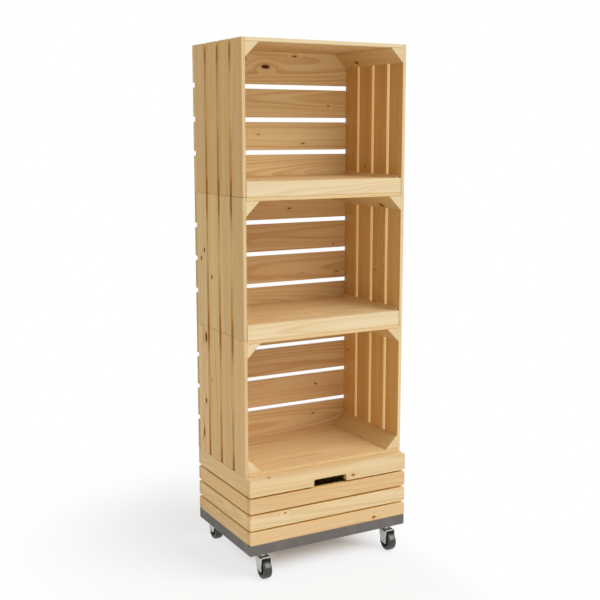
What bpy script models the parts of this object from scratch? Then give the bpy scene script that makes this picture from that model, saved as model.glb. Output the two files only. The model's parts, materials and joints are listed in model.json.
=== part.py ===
"""Crate display stand: three open pine crates on a slatted base, a dolly board and four swivel casters.

Metres, +Z up. The origin is on the floor under the middle of the dolly board, and the crates' open
fronts face -Y.
"""

import math

import bmesh
import bpy
from mathutils import Matrix

# Fits shared by the whole stand
CLEARANCE = 0.0003
JOIN_DEPTH = 0.001
MERGE_DISTANCE = 0.00001

# Crates
STAND_WIDTH = 0.460
TOP_CRATE_HEIGHT = 0.370
MIDDLE_CRATE_HEIGHT = 0.345
BOTTOM_CRATE_HEIGHT = 0.345
SIDE_SLAT_COUNT = 4
SIDE_SLAT_WIDTH = 0.060
SIDE_SLAT_GAP = 0.012
SIDE_SLAT_THICKNESS = 0.009
BACK_SLAT_COUNT = 4
BACK_SLAT_HEIGHT = 0.074
BACK_SLAT_GAP = 0.012
BACK_SLAT_THICKNESS = 0.012
BOARD_THICKNESS = 0.009
CORNER_POST_LEG = 0.036
APRON_HEIGHT = 0.037
APRON_THICKNESS = 0.012
DECK_THICKNESS = 0.009

# Base crate under the three crates
BASE_HEIGHT = 0.169
BASE_LEDGE = 0.025
BASE_SLAT_COUNT = 4
BASE_TOP_SLAT_HEIGHT = 0.0445
BASE_LOWEST_SLAT_SHARE = 0.88
BASE_SLAT_GAP = 0.005
BASE_SLAT_THICKNESS = 0.015
BASE_POST_SIDE = 0.032
BASE_LID_THICKNESS = 0.012
HAND_HOLE_WIDTH = 0.096
HAND_HOLE_HEIGHT = 0.0175
HAND_HOLE_CORNER = 0.005

# Dolly board
DOLLY_THICKNESS = 0.027

# Casters
CASTER_SIDE_INSET = 0.044
CASTER_END_INSET = 0.030
CASTER_TRAIL = 0.020
WHEEL_DIAMETER = 0.050
WHEEL_WIDTH = 0.022
WHEEL_SIDE_GAP = 0.0015
TYRE_DEPTH = 0.0075
TYRE_SHOULDER = 0.004
HUB_RIM_DEPTH = 0.003
HUB_RIM_SETBACK = 0.001
HUB_WEB_THICKNESS = 0.009
HUB_BOSS_DIAMETER = 0.015
AXLE_DIAMETER = 0.005
AXLE_HEAD_DIAMETER = 0.007
AXLE_HEAD_HEIGHT = 0.0016
AXLE_HEAD_CHAMFER = 0.0007
LEG_THICKNESS = 0.0025
LEG_AHEAD = 0.010
LEG_TOP_LENGTH = 0.032
LEG_BOTTOM_LENGTH = 0.023
LEG_BELOW_AXLE = 0.0055
LEG_SLANT = 0.005
LEG_CORNER = 0.005
CROWN_BACK = 0.018
CROWN_OVERHANG = 0.0008
CROWN_CORNER = 0.0025
CROWN_THICKNESS = 0.0025
CROWN_WHEEL_GAP = 0.0052
RACE_DIAMETER = 0.031
LOWER_RACE_HEIGHT = 0.003
UPPER_RACE_HEIGHT = 0.0035
KINGPIN_DIAMETER = 0.008
KINGPIN_HEAD_DIAMETER = 0.014
KINGPIN_HEAD_HEIGHT = 0.002
PLATE_SIDE = 0.056
PLATE_CORNER = 0.007
PLATE_THICKNESS = 0.0025
PLATE_HOLE_DIAMETER = 0.005
PLATE_HOLE_INSET = 0.008
WHEEL_FACETS = 24
PIN_FACETS = 16
ARC_STEPS = 6
SHOULDER_STEPS = 2

# Places worked out from the sizes above
HALF_WIDTH = STAND_WIDTH / 2
INNER_HALF_WIDTH = HALF_WIDTH - SIDE_SLAT_THICKNESS
SIDE_DEPTH = SIDE_SLAT_COUNT * SIDE_SLAT_WIDTH + (SIDE_SLAT_COUNT - 1) * SIDE_SLAT_GAP
CRATE_DEPTH = SIDE_DEPTH + CLEARANCE + BACK_SLAT_THICKNESS
BASE_DEPTH = CRATE_DEPTH + BASE_LEDGE
BASE_FRONT = -BASE_DEPTH / 2
BASE_BACK = BASE_DEPTH / 2
CRATE_FRONT = BASE_FRONT + BASE_LEDGE
SIDE_BACK = CRATE_FRONT + SIDE_DEPTH
WHEEL_RADIUS = WHEEL_DIAMETER / 2
CROWN_BOTTOM = WHEEL_DIAMETER + CROWN_WHEEL_GAP
CROWN_TOP = CROWN_BOTTOM + CROWN_THICKNESS
LOWER_RACE_TOP = CROWN_TOP + LOWER_RACE_HEIGHT
UPPER_RACE_BOTTOM = LOWER_RACE_TOP + CLEARANCE
PLATE_BOTTOM = UPPER_RACE_BOTTOM + UPPER_RACE_HEIGHT
CASTER_HEIGHT = PLATE_BOTTOM + PLATE_THICKNESS
LEG_INNER = WHEEL_WIDTH / 2 + WHEEL_SIDE_GAP
LEG_OUTER = LEG_INNER + LEG_THICKNESS
LEG_FRONT = -CASTER_TRAIL - LEG_AHEAD
DOLLY_BOTTOM = CASTER_HEIGHT + CLEARANCE
DOLLY_TOP = DOLLY_BOTTOM + DOLLY_THICKNESS
BASE_BOTTOM = DOLLY_TOP + CLEARANCE
BASE_TOP = BASE_BOTTOM + BASE_HEIGHT

# Crates from the bottom up: name, height, and whether it has an apron and a raised deck
CRATES = (
    ("bottom_crate", BOTTOM_CRATE_HEIGHT, False),
    ("middle_crate", MIDDLE_CRATE_HEIGHT, True),
    ("top_crate", TOP_CRATE_HEIGHT, True),
)

# How an outline's own plane is turned into the stand's: across and up, or along the depth and up
ACROSS_AND_UP = Matrix.Rotation(math.pi / 2, 4, "X")
DEPTH_AND_UP = Matrix(((0, 0, 1, 0), (1, 0, 0, 0), (0, 1, 0, 0), (0, 0, 0, 1)))
FLAT = Matrix.Identity(4)
ALONG_X = Matrix.Rotation(math.pi / 2, 4, "Y")


def clear_scene():
    """Remove whatever objects the open file holds."""
    for obj in list(bpy.data.objects):
        bpy.data.objects.remove(obj, do_unlink=True)


def new_collection(name):
    """A collection linked to the scene."""
    collection = bpy.data.collections.new(name)
    bpy.context.scene.collection.children.link(collection)
    return collection


def principled(name, colour, roughness, metallic=0.0):
    """A plain surface finish."""
    material = bpy.data.materials.new(name)
    material.use_nodes = True
    shader = material.node_tree.nodes["Principled BSDF"]
    shader.inputs["Base Color"].default_value = (*colour, 1.0)
    shader.inputs["Roughness"].default_value = roughness
    shader.inputs["Metallic"].default_value = metallic
    return material


clear_scene()
PARTS = new_collection("crate_display_stand")
TOOLS = new_collection("cutters_and_joined_shapes")
PINE_SIDE = principled("pine_side_slats", (0.62, 0.44, 0.22), 0.55)
PINE_BACK = principled("pine_back_slats", (0.55, 0.38, 0.19), 0.55)
PINE_BOARD = principled("pine_boards", (0.70, 0.52, 0.28), 0.5)
PINE_BASE = principled("pine_base_slats", (0.74, 0.56, 0.32), 0.5)
DOLLY_PAINT = principled("dark_grey_paint", (0.15, 0.145, 0.135), 0.45)
ZINC = principled("zinc_plated_steel", (0.62, 0.62, 0.60), 0.3, 1.0)
BRIGHT_STEEL = principled("bright_steel", (0.70, 0.70, 0.70), 0.25, 1.0)
HUB_PLASTIC = principled("dark_grey_plastic", (0.06, 0.06, 0.058), 0.4)
RUBBER = principled("dark_grey_rubber", (0.045, 0.045, 0.043), 0.6)


def add_part(name, mesh, material, location=(0.0, 0.0, 0.0), parent=None):
    """One finished piece of the stand."""
    obj = bpy.data.objects.new(name, mesh)
    obj.location = location
    obj.parent = parent
    mesh.materials.append(material)
    PARTS.objects.link(obj)
    return obj


def add_tool(name, mesh, location=(0.0, 0.0, 0.0), parent=None):
    """A shape that only cuts a piece or is joined to it."""
    obj = bpy.data.objects.new(name, mesh)
    obj.location = location
    obj.parent = parent
    obj.hide_render = True
    obj.display_type = "WIRE"
    TOOLS.objects.link(obj)
    return obj


def combine(obj, tool, operation):
    """Cut the tool out of a piece with DIFFERENCE, or join it on with UNION."""
    modifier = obj.modifiers.new(tool.name, "BOOLEAN")
    modifier.operation = operation
    modifier.solver = "EXACT"
    modifier.object = tool


def spread(count, start, sizes, gap):
    """The (low, high) of each member of a row laid from start with a gap between neighbours."""
    spans = []
    low = start
    for index in range(count):
        spans.append((low, low + sizes[index]))
        low += sizes[index] + gap
    return spans


def boxes_mesh(name, boxes, origin):
    """Boxes given by their x, y and z spans, in one mesh measured from the origin."""
    bm = bmesh.new()
    for spans in boxes:
        middle = [(low + high) / 2 - start for (low, high), start in zip(spans, origin)]
        size = [high - low for low, high in spans]
        matrix = Matrix.Translation(middle) @ Matrix.Diagonal((*size, 1.0))
        bmesh.ops.create_cube(bm, size=1.0, matrix=matrix)
    mesh = bpy.data.meshes.new(name)
    bm.to_mesh(mesh)
    bm.free()
    return mesh


def add_board(name, x, y, z, material):
    """A straight board from its x, y and z spans, with its origin in its middle."""
    middle = [sum(span) / 2 for span in (x, y, z)]
    return add_part(name, boxes_mesh(name, [(x, y, z)], middle), material, middle)


def outline_mesh(name, outline, thickness, turn):
    """A flat outline with the same thickness to both sides of its plane, turned into place."""
    curve = bpy.data.curves.new(name, "CURVE")
    curve.dimensions = "2D"
    curve.fill_mode = "BOTH"
    curve.extrude = thickness / 2
    spline = curve.splines.new("POLY")
    spline.points.add(len(outline) - 1)
    for point, (across, up) in zip(spline.points, outline):
        point.co = (across, up, 0.0, 1.0)
    spline.use_cyclic_u = True
    holder = bpy.data.objects.new(name, curve)
    TOOLS.objects.link(holder)
    evaluated = holder.evaluated_get(bpy.context.evaluated_depsgraph_get())
    mesh = bpy.data.meshes.new_from_object(evaluated)
    bpy.data.objects.remove(holder)
    bm = bmesh.new()
    bm.from_mesh(mesh)
    bmesh.ops.remove_doubles(bm, verts=bm.verts, dist=MERGE_DISTANCE)
    bmesh.ops.recalc_face_normals(bm, faces=bm.faces)
    bm.to_mesh(mesh)
    bm.free()
    mesh.transform(turn)
    return mesh


def joined_mesh(name, meshes):
    """Several meshes, each with its own place, as one mesh of separate bodies."""
    bm = bmesh.new()
    for mesh, place in meshes:
        mesh.transform(place)
        bm.from_mesh(mesh)
    joined = bpy.data.meshes.new(name)
    bm.to_mesh(joined)
    bm.free()
    return joined


def rod_mesh(name, diameter, length, facets, places):
    """Round rods along Z, one at each place."""
    bm = bmesh.new()
    for place in places:
        bmesh.ops.create_cone(
            bm, cap_ends=True, segments=facets, radius1=diameter / 2, radius2=diameter / 2,
            depth=length, matrix=place,
        )
    mesh = bpy.data.meshes.new(name)
    bm.to_mesh(mesh)
    bm.free()
    return mesh


def turned_mesh(name, profile, ring, start=0.0):
    """The edge line of a turned shape: (radius, height) points, outer side from the top down."""
    points = [(radius * math.cos(start), radius * math.sin(start), height) for radius, height in profile]
    edges = [(index, index + 1) for index in range(len(points) - 1)]
    if ring:
        edges.append((len(points) - 1, 0))
    mesh = bpy.data.meshes.new(name)
    mesh.from_pydata(points, edges, [])
    return mesh


def turn_round(obj, facets):
    """Turn an object's edge line about its own Z axis into a closed shape."""
    screw = obj.modifiers.new("Turn", "SCREW")
    screw.axis = "Z"
    screw.angle = 2 * math.pi
    screw.steps = facets
    screw.render_steps = facets
    screw.use_merge_vertices = True
    screw.merge_threshold = MERGE_DISTANCE
    screw.use_smooth_shade = True


def arc(centre, radius, start, end, steps=ARC_STEPS):
    """Points along a round stretch of an outline; angles in radians, both ends included."""
    points = []
    for step in range(steps + 1):
        angle = start + (end - start) * step / steps
        points.append((centre[0] + radius * math.cos(angle), centre[1] + radius * math.sin(angle)))
    return points


def rounded_rectangle(half_x, half_y, corner):
    """A rectangle about its own middle with four round corners."""
    quarter = math.pi / 2
    points = []
    for turn, (x, y) in enumerate(((1, 1), (-1, 1), (-1, -1), (1, -1))):
        centre = (x * (half_x - corner), y * (half_y - corner))
        points += arc(centre, corner, turn * quarter, (turn + 1) * quarter)
    return points


def build_side_panel(name, side, z, lower_front, post_corner):
    """Upright slats nailed to an upper and a lower corner post; side is -1 on the left, 1 on the right."""
    x = sorted((side * INNER_HALF_WIDTH, side * HALF_WIDTH))
    rows = spread(SIDE_SLAT_COUNT, CRATE_FRONT, [SIDE_SLAT_WIDTH] * SIDE_SLAT_COUNT, SIDE_SLAT_GAP)
    origin = (sum(x) / 2, (CRATE_FRONT + SIDE_BACK) / 2, sum(z) / 2)
    slats = boxes_mesh(name, [(x, row, z) for row in rows], origin)
    panel = add_part(name, slats, PINE_SIDE, origin)
    posts = []
    corners = ((post_corner, 1, lower_front), (z[1] - BOARD_THICKNESS - CLEARANCE, -1, CRATE_FRONT))
    for corner, up, front in corners:
        tip = corner + up * CORNER_POST_LEG
        outline = (
            (side * (INNER_HALF_WIDTH + JOIN_DEPTH), corner),
            (side * (INNER_HALF_WIDTH - CORNER_POST_LEG), corner),
            (side * INNER_HALF_WIDTH, tip),
            (side * (INNER_HALF_WIDTH + JOIN_DEPTH), tip),
        )
        post = outline_mesh(f"{name}_post", outline, SIDE_BACK - front, ACROSS_AND_UP)
        posts.append((post, Matrix.Translation((0.0, (front + SIDE_BACK) / 2, 0.0))))
    combine(panel, add_tool(f"{name}_posts", joined_mesh(f"{name}_posts", posts)), "UNION")


def build_back(name, z):
    """Level back slats across the whole width; the first and last take up what the others leave."""
    y = (SIDE_BACK + CLEARANCE, BASE_BACK)
    inner_count = BACK_SLAT_COUNT - 2
    taken = inner_count * BACK_SLAT_HEIGHT + (BACK_SLAT_COUNT - 1) * BACK_SLAT_GAP
    outer = (z[1] - z[0] - taken) / 2
    heights = [outer] + [BACK_SLAT_HEIGHT] * inner_count + [outer]
    for index, row in enumerate(spread(BACK_SLAT_COUNT, z[0], heights, BACK_SLAT_GAP)):
        add_board(f"{name}_back_slat_{index + 1}", (-HALF_WIDTH, HALF_WIDTH), y, row, PINE_BACK)


def build_deck(name, z, post_corner, front):
    """A raised display deck whose slanted edges lie on the lower corner posts."""
    post_tip = post_corner + CORNER_POST_LEG
    levels = [z[0], z[1]]
    if z[0] < post_tip < z[1]:
        levels.insert(1, post_tip)
    right_edge = []
    for level in levels:
        post_width = max(post_tip - level, 0.0)
        right_edge.append((INNER_HALF_WIDTH - post_width - CLEARANCE * math.sqrt(2), level))
    left_edge = [(-across, level) for across, level in reversed(right_edge)]
    back = SIDE_BACK - CLEARANCE
    mesh = outline_mesh(name, right_edge + left_edge, back - front, ACROSS_AND_UP)
    mesh.transform(Matrix.Translation((0.0, 0.0, -z[0])))
    add_part(name, mesh, PINE_BOARD, (0.0, (front + back) / 2, z[0]))


def build_crate(name, height, bottom, raised):
    """One open-fronted crate standing on the level given as its bottom."""
    z = (bottom, bottom + height)
    board_x = (CLEARANCE - INNER_HALF_WIDTH, INNER_HALF_WIDTH - CLEARANCE)
    behind_apron = CRATE_FRONT + APRON_THICKNESS + CLEARANCE
    lower_front = behind_apron if raised else CRATE_FRONT
    floor_top = bottom + BOARD_THICKNESS
    post_corner = floor_top + CLEARANCE
    build_side_panel(f"{name}_left_side", -1, z, lower_front, post_corner)
    build_side_panel(f"{name}_right_side", 1, z, lower_front, post_corner)
    build_back(name, z)
    add_board(f"{name}_floor_board", board_x, (lower_front, SIDE_BACK), (bottom, floor_top), PINE_BOARD)
    top_z = (z[1] - BOARD_THICKNESS, z[1])
    add_board(f"{name}_top_board", board_x, (CRATE_FRONT, SIDE_BACK), top_z, PINE_BOARD)
    if raised:
        apron_top = bottom + APRON_HEIGHT
        apron_y = (CRATE_FRONT, CRATE_FRONT + APRON_THICKNESS)
        add_board(f"{name}_apron", board_x, apron_y, (bottom, apron_top), PINE_BASE)
        build_deck(f"{name}_deck", (apron_top - DECK_THICKNESS, apron_top), post_corner, behind_apron)


def build_hand_hole(slat, z):
    """A finger notch with rounded upper corners in the lower edge of the front's top slat."""
    half = HAND_HOLE_WIDTH / 2
    top = z[0] + HAND_HOLE_HEIGHT
    below = z[0] - BASE_SLAT_GAP / 2
    quarter = math.pi / 2
    corner_z = top - HAND_HOLE_CORNER
    outline = [(-half, below), (half, below)]
    outline += arc((half - HAND_HOLE_CORNER, corner_z), HAND_HOLE_CORNER, 0.0, quarter)
    outline += arc((HAND_HOLE_CORNER - half, corner_z), HAND_HOLE_CORNER, quarter, 2 * quarter)
    notch = outline_mesh("hand_hole", outline, 2 * BASE_SLAT_THICKNESS, ACROSS_AND_UP)
    combine(slat, add_tool("hand_hole", notch, (0.0, slat.location.y, 0.0)), "DIFFERENCE")


def build_base_end(name, side, rows):
    """Level end slats with a square post at each end; side is -1 on the left, 1 on the right."""
    inner = HALF_WIDTH - BASE_SLAT_THICKNESS
    x = sorted((side * inner, side * HALF_WIDTH))
    reach = BASE_SLAT_THICKNESS + CLEARANCE
    y = (BASE_FRONT + reach, BASE_BACK - reach)
    origin = (sum(x) / 2, 0.0, (BASE_BOTTOM + BASE_TOP) / 2)
    slats = boxes_mesh(name, [(x, y, row) for row in rows], origin)
    end = add_part(name, slats, PINE_BASE, origin)
    post_x = sorted((side * (inner + JOIN_DEPTH), side * (inner - BASE_POST_SIDE)))
    post_z = (BASE_BOTTOM, BASE_TOP - BASE_LID_THICKNESS - CLEARANCE)
    post_rows = ((y[0], y[0] + BASE_POST_SIDE), (y[1] - BASE_POST_SIDE, y[1]))
    posts = boxes_mesh(f"{name}_posts", [(post_x, row, post_z) for row in post_rows], origin)
    combine(end, add_tool(f"{name}_posts", posts, origin), "UNION")


def build_base():
    """The slatted base crate with its hand-hole, and the lid that the crates stand on."""
    lower_count = BASE_SLAT_COUNT - 1
    lower = BASE_HEIGHT - BASE_TOP_SLAT_HEIGHT - lower_count * BASE_SLAT_GAP
    slat = lower / (lower_count - 1 + BASE_LOWEST_SLAT_SHARE)
    heights = [BASE_LOWEST_SLAT_SHARE * slat] + [slat] * (lower_count - 1) + [BASE_TOP_SLAT_HEIGHT]
    rows = spread(BASE_SLAT_COUNT, BASE_BOTTOM, heights, BASE_SLAT_GAP)
    x = (-HALF_WIDTH, HALF_WIDTH)
    front_y = (BASE_FRONT, BASE_FRONT + BASE_SLAT_THICKNESS)
    back_y = (BASE_BACK - BASE_SLAT_THICKNESS, BASE_BACK)
    for index, row in enumerate(rows):
        front = add_board(f"base_front_slat_{index + 1}", x, front_y, row, PINE_BASE)
        add_board(f"base_back_slat_{index + 1}", x, back_y, row, PINE_BASE)
    build_hand_hole(front, rows[-1])
    build_base_end("base_left_end", -1, rows)
    build_base_end("base_right_end", 1, rows)
    lid_half = HALF_WIDTH - BASE_SLAT_THICKNESS - CLEARANCE
    lid_y = (front_y[1] + CLEARANCE, back_y[0] - CLEARANCE)
    lid_z = (BASE_TOP - BASE_LID_THICKNESS, BASE_TOP)
    add_board("base_lid", (-lid_half, lid_half), lid_y, lid_z, PINE_BOARD)


def build_dolly():
    """The painted board that carries the base and holds the casters."""
    z = (DOLLY_BOTTOM, DOLLY_TOP)
    add_board("dolly_board", (-HALF_WIDTH, HALF_WIDTH), (BASE_FRONT, BASE_BACK), z, DOLLY_PAINT)


def build_caster_plate(name, swivel):
    """The screwed-on top plate with the upper bearing race and the kingpin that holds the fork."""
    half = PLATE_SIDE / 2
    outline = rounded_rectangle(half, half, PLATE_CORNER)
    plate_z = PLATE_BOTTOM + PLATE_THICKNESS / 2
    flat = outline_mesh(name, outline, PLATE_THICKNESS, FLAT)
    plate = add_part(name, flat, ZINC, (0.0, 0.0, plate_z), swivel)
    pin_radius = KINGPIN_DIAMETER / 2
    head_top = CROWN_BOTTOM - CLEARANCE
    head_bottom = head_top - KINGPIN_HEAD_HEIGHT
    profile = (
        (0.0, plate_z),
        (RACE_DIAMETER / 2, plate_z),
        (RACE_DIAMETER / 2, UPPER_RACE_BOTTOM),
        (pin_radius, UPPER_RACE_BOTTOM),
        (pin_radius, head_top),
        (KINGPIN_HEAD_DIAMETER / 2, head_top),
        (KINGPIN_HEAD_DIAMETER / 2, head_bottom),
        (0.0, head_bottom),
    )
    pin = add_tool(f"{name}_kingpin", turned_mesh(f"{name}_kingpin", profile, ring=False), parent=swivel)
    turn_round(pin, WHEEL_FACETS)
    combine(plate, pin, "UNION")
    hole = half - PLATE_HOLE_INSET
    places = [Matrix.Translation((x, y, plate_z)) for x in (-hole, hole) for y in (-hole, hole)]
    holes = rod_mesh(f"{name}_holes", PLATE_HOLE_DIAMETER, 2 * PLATE_THICKNESS, PIN_FACETS, places)
    combine(plate, add_tool(f"{name}_holes", holes, parent=swivel), "DIFFERENCE")


def leg_outline():
    """A fork leg seen from the side: upright in front, round at the toe, with a slanted bottom and back."""
    top = CROWN_TOP - CROWN_THICKNESS / 2
    bottom = WHEEL_RADIUS - LEG_BELOW_AXLE
    toe = arc((LEG_FRONT + LEG_CORNER, bottom + LEG_CORNER), LEG_CORNER, math.pi, 1.5 * math.pi)
    heel = (LEG_FRONT + LEG_BOTTOM_LENGTH, bottom + LEG_SLANT)
    return [(LEG_FRONT + LEG_TOP_LENGTH, top), (LEG_FRONT, top)] + toe + [heel]


def build_fork(name, swivel):
    """The pressed fork: crown, two legs and the lower bearing race, with kingpin and axle holes."""
    crown_front = LEG_FRONT - CROWN_OVERHANG
    crown_half = (CROWN_BACK - crown_front) / 2
    outline = rounded_rectangle(LEG_OUTER + CROWN_OVERHANG, crown_half, CROWN_CORNER)
    crown_z = CROWN_BOTTOM + CROWN_THICKNESS / 2
    crown = outline_mesh(name, outline, CROWN_THICKNESS, FLAT)
    crown.transform(Matrix.Translation((0.0, (CROWN_BACK + crown_front) / 2, 0.0)))
    fork = add_part(name, crown, ZINC, (0.0, 0.0, crown_z), swivel)
    legs = []
    for side in (-1, 1):
        leg = outline_mesh(f"{name}_leg", leg_outline(), LEG_THICKNESS, DEPTH_AND_UP)
        legs.append((leg, Matrix.Translation((side * (LEG_INNER + LEG_OUTER) / 2, 0.0, 0.0))))
    combine(fork, add_tool(f"{name}_legs", joined_mesh(f"{name}_legs", legs), parent=swivel), "UNION")
    race_place = Matrix.Translation((0.0, 0.0, (crown_z + LOWER_RACE_TOP) / 2))
    race = rod_mesh(f"{name}_race", RACE_DIAMETER, LOWER_RACE_TOP - crown_z, WHEEL_FACETS, [race_place])
    combine(fork, add_tool(f"{name}_race", race, parent=swivel), "UNION")
    pin_hole = KINGPIN_DIAMETER + 2 * CLEARANCE
    pin_place = Matrix.Translation((0.0, 0.0, crown_z))
    pin_length = 4 * (LOWER_RACE_TOP - crown_z)
    pin = rod_mesh(f"{name}_kingpin_hole", pin_hole, pin_length, PIN_FACETS, [pin_place])
    combine(fork, add_tool(f"{name}_kingpin_hole", pin, parent=swivel), "DIFFERENCE")
    axle_hole = AXLE_DIAMETER + 2 * CLEARANCE
    axle_place = Matrix.Translation((0.0, -CASTER_TRAIL, WHEEL_RADIUS)) @ ALONG_X
    axle = rod_mesh(f"{name}_axle_hole", axle_hole, 4 * LEG_OUTER, PIN_FACETS, [axle_place])
    combine(fork, add_tool(f"{name}_axle_hole", axle, parent=swivel), "DIFFERENCE")


def add_wheel_piece(name, profile, ring, facets, material, swivel):
    """A turned piece on the axle, with its origin on the axle and a flat facet underneath."""
    mesh = turned_mesh(name, profile, ring, math.pi / facets)
    piece = add_part(name, mesh, material, (0.0, -CASTER_TRAIL, WHEEL_RADIUS), swivel)
    piece.rotation_euler = ALONG_X.to_euler()
    turn_round(piece, facets)


def build_axle(name, swivel):
    """The axle rivet through both legs and the hub, with a low head at each end."""
    shank = LEG_OUTER + CLEARANCE
    tip = shank + AXLE_HEAD_HEIGHT
    radius = AXLE_DIAMETER / 2
    head = AXLE_HEAD_DIAMETER / 2
    upper = [(0.0, tip), (head - AXLE_HEAD_CHAMFER, tip), (head, tip - AXLE_HEAD_CHAMFER)]
    upper += [(head, shank), (radius, shank)]
    lower = [(across, -along) for across, along in reversed(upper)]
    add_wheel_piece(name, upper + lower, False, PIN_FACETS, BRIGHT_STEEL, swivel)


def build_hub(name, swivel):
    """The wheel's plastic centre: a rim in the tyre, a thin web and a boss that runs on the axle."""
    rim = WHEEL_RADIUS - TYRE_DEPTH - CLEARANCE
    rim_half = WHEEL_WIDTH / 2 - HUB_RIM_SETBACK
    web_half = HUB_WEB_THICKNESS / 2
    boss_half = LEG_INNER - CLEARANCE
    boss = HUB_BOSS_DIAMETER / 2
    bore = AXLE_DIAMETER / 2 + CLEARANCE
    upper = [(bore, boss_half), (boss, boss_half), (boss, web_half)]
    upper += [(rim - HUB_RIM_DEPTH, web_half), (rim - HUB_RIM_DEPTH, rim_half), (rim, rim_half)]
    lower = [(across, -along) for across, along in reversed(upper)]
    add_wheel_piece(name, upper + lower, True, WHEEL_FACETS, HUB_PLASTIC, swivel)


def build_tyre(name, swivel):
    """The rubber tread with rounded shoulders; its facets touch the floor on their flats."""
    tread = WHEEL_RADIUS / math.cos(math.pi / WHEEL_FACETS)
    half = WHEEL_WIDTH / 2
    inner = WHEEL_RADIUS - TYRE_DEPTH
    centre = (tread - TYRE_SHOULDER, half - TYRE_SHOULDER)
    upper = [(inner, half)] + arc(centre, TYRE_SHOULDER, math.pi / 2, 0.0, SHOULDER_STEPS)
    lower = [(across, -along) for across, along in reversed(upper)]
    add_wheel_piece(name, upper + lower, True, WHEEL_FACETS, RUBBER, swivel)


def build_casters():
    """Four casters; the front wheels trail to the front and the back wheels to the back."""
    across = HALF_WIDTH - CASTER_SIDE_INSET
    along = BASE_BACK - CASTER_END_INSET
    for end, y, heading in (("front", -along, 0.0), ("back", along, math.pi)):
        for side, x in (("left", -across), ("right", across)):
            name = f"{end}_{side}_caster"
            swivel = bpy.data.objects.new(f"{name}_swivel_axis", None)
            swivel.location = (x, y, 0.0)
            swivel.rotation_euler = (0.0, 0.0, heading)
            PARTS.objects.link(swivel)
            build_caster_plate(f"{name}_plate", swivel)
            build_fork(f"{name}_fork", swivel)
            build_axle(f"{name}_axle", swivel)
            build_hub(f"{name}_hub", swivel)
            build_tyre(f"{name}_tyre", swivel)


def main():
    """Build the stand from the casters up."""
    build_casters()
    build_dolly()
    build_base()
    bottom = BASE_TOP + CLEARANCE
    for name, height, raised in CRATES:
        build_crate(name, height, bottom, raised)
        bottom += height + CLEARANCE


main()
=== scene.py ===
"""The looks of a crate display stand: sawn pine crates, a painted dolly board and pressed-steel casters.

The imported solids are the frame, in metres, with +Z up and the crates' open fronts facing -Y. Each
operator makes one group of like pieces over them, and the last one makes the stage.
"""

import json
import math
import random

import bmesh
import bpy
from bpy.props import FloatProperty, FloatVectorProperty, IntProperty, PointerProperty
from bpy.types import Operator, Panel, PropertyGroup
from mathutils import Matrix, Vector


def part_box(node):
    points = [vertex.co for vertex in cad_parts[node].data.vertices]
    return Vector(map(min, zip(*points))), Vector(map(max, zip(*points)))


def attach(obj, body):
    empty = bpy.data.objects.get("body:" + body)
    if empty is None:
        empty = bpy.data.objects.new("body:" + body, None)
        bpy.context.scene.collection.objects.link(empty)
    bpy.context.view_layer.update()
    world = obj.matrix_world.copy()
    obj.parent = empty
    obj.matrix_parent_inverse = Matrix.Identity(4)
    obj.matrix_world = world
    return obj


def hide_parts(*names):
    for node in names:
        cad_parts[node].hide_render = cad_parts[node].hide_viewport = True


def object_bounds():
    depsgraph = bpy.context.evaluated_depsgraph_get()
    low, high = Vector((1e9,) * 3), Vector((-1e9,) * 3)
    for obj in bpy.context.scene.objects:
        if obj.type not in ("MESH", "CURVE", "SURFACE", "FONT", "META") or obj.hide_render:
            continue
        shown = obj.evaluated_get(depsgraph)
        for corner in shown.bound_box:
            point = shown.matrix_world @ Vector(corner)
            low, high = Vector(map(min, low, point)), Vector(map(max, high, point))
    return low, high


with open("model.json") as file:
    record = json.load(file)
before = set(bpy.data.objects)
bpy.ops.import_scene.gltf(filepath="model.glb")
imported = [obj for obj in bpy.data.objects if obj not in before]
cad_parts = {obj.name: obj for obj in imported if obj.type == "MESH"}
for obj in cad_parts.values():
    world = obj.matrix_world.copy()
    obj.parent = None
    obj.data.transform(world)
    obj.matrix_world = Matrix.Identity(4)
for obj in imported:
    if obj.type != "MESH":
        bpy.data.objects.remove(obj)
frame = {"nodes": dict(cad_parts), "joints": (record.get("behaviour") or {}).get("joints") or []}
CAD_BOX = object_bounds()

bl_info = {
    "name": "Crate display stand",
    "version": (1, 0, 0),
    "blender": (4, 5, 0),
    "location": "View3D > Sidebar > Crate stand",
    "description": "Dresses the stand's solids with pine boards, painted wood, pressed steel and rubber",
    "category": "Add Mesh",
}

CRATES = ("bottom_crate", "middle_crate", "top_crate")
SIDES = (("left", -1), ("right", 1))
CASTERS = ("front_left", "front_right", "back_left", "back_right")
PIVOTS = {joint["name"]: Vector(joint["pos_m"]) for joint in frame["joints"]}

# The numbers of the slats in a side, from the front backwards, and in a back or the base, from the lowest up
SLAT_NUMBERS = (1, 2, 3, 4)

# The clearance between neighbouring solids, and a length too small to matter
SEAM = 0.0003
TINY = 0.00001

# A tint that changes nothing, and white with its alpha
PLAIN = (1, 1, 1)
WHITE = (1.0, 1.0, 1.0, 1.0)

X_AXIS, Y_AXIS, Z_AXIS = Vector((1, 0, 0)), Vector((0, 1, 0)), Vector((0, 0, 1))


def grain_turn(along, across):
    """The turn of a board whose own X runs along its grain, Y across it and Z through it."""
    return Matrix((along, across, along.cross(across))).transposed()


# How a board lies in the stand
UPRIGHT = grain_turn(Z_AXIS, Y_AXIS)
LEVEL = grain_turn(X_AXIS, Z_AXIS)
FLAT = grain_turn(X_AXIS, Y_AXIS)
ENDWAYS = grain_turn(Y_AXIS, Z_AXIS)
RAIL = grain_turn(Y_AXIS, X_AXIS)

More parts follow.
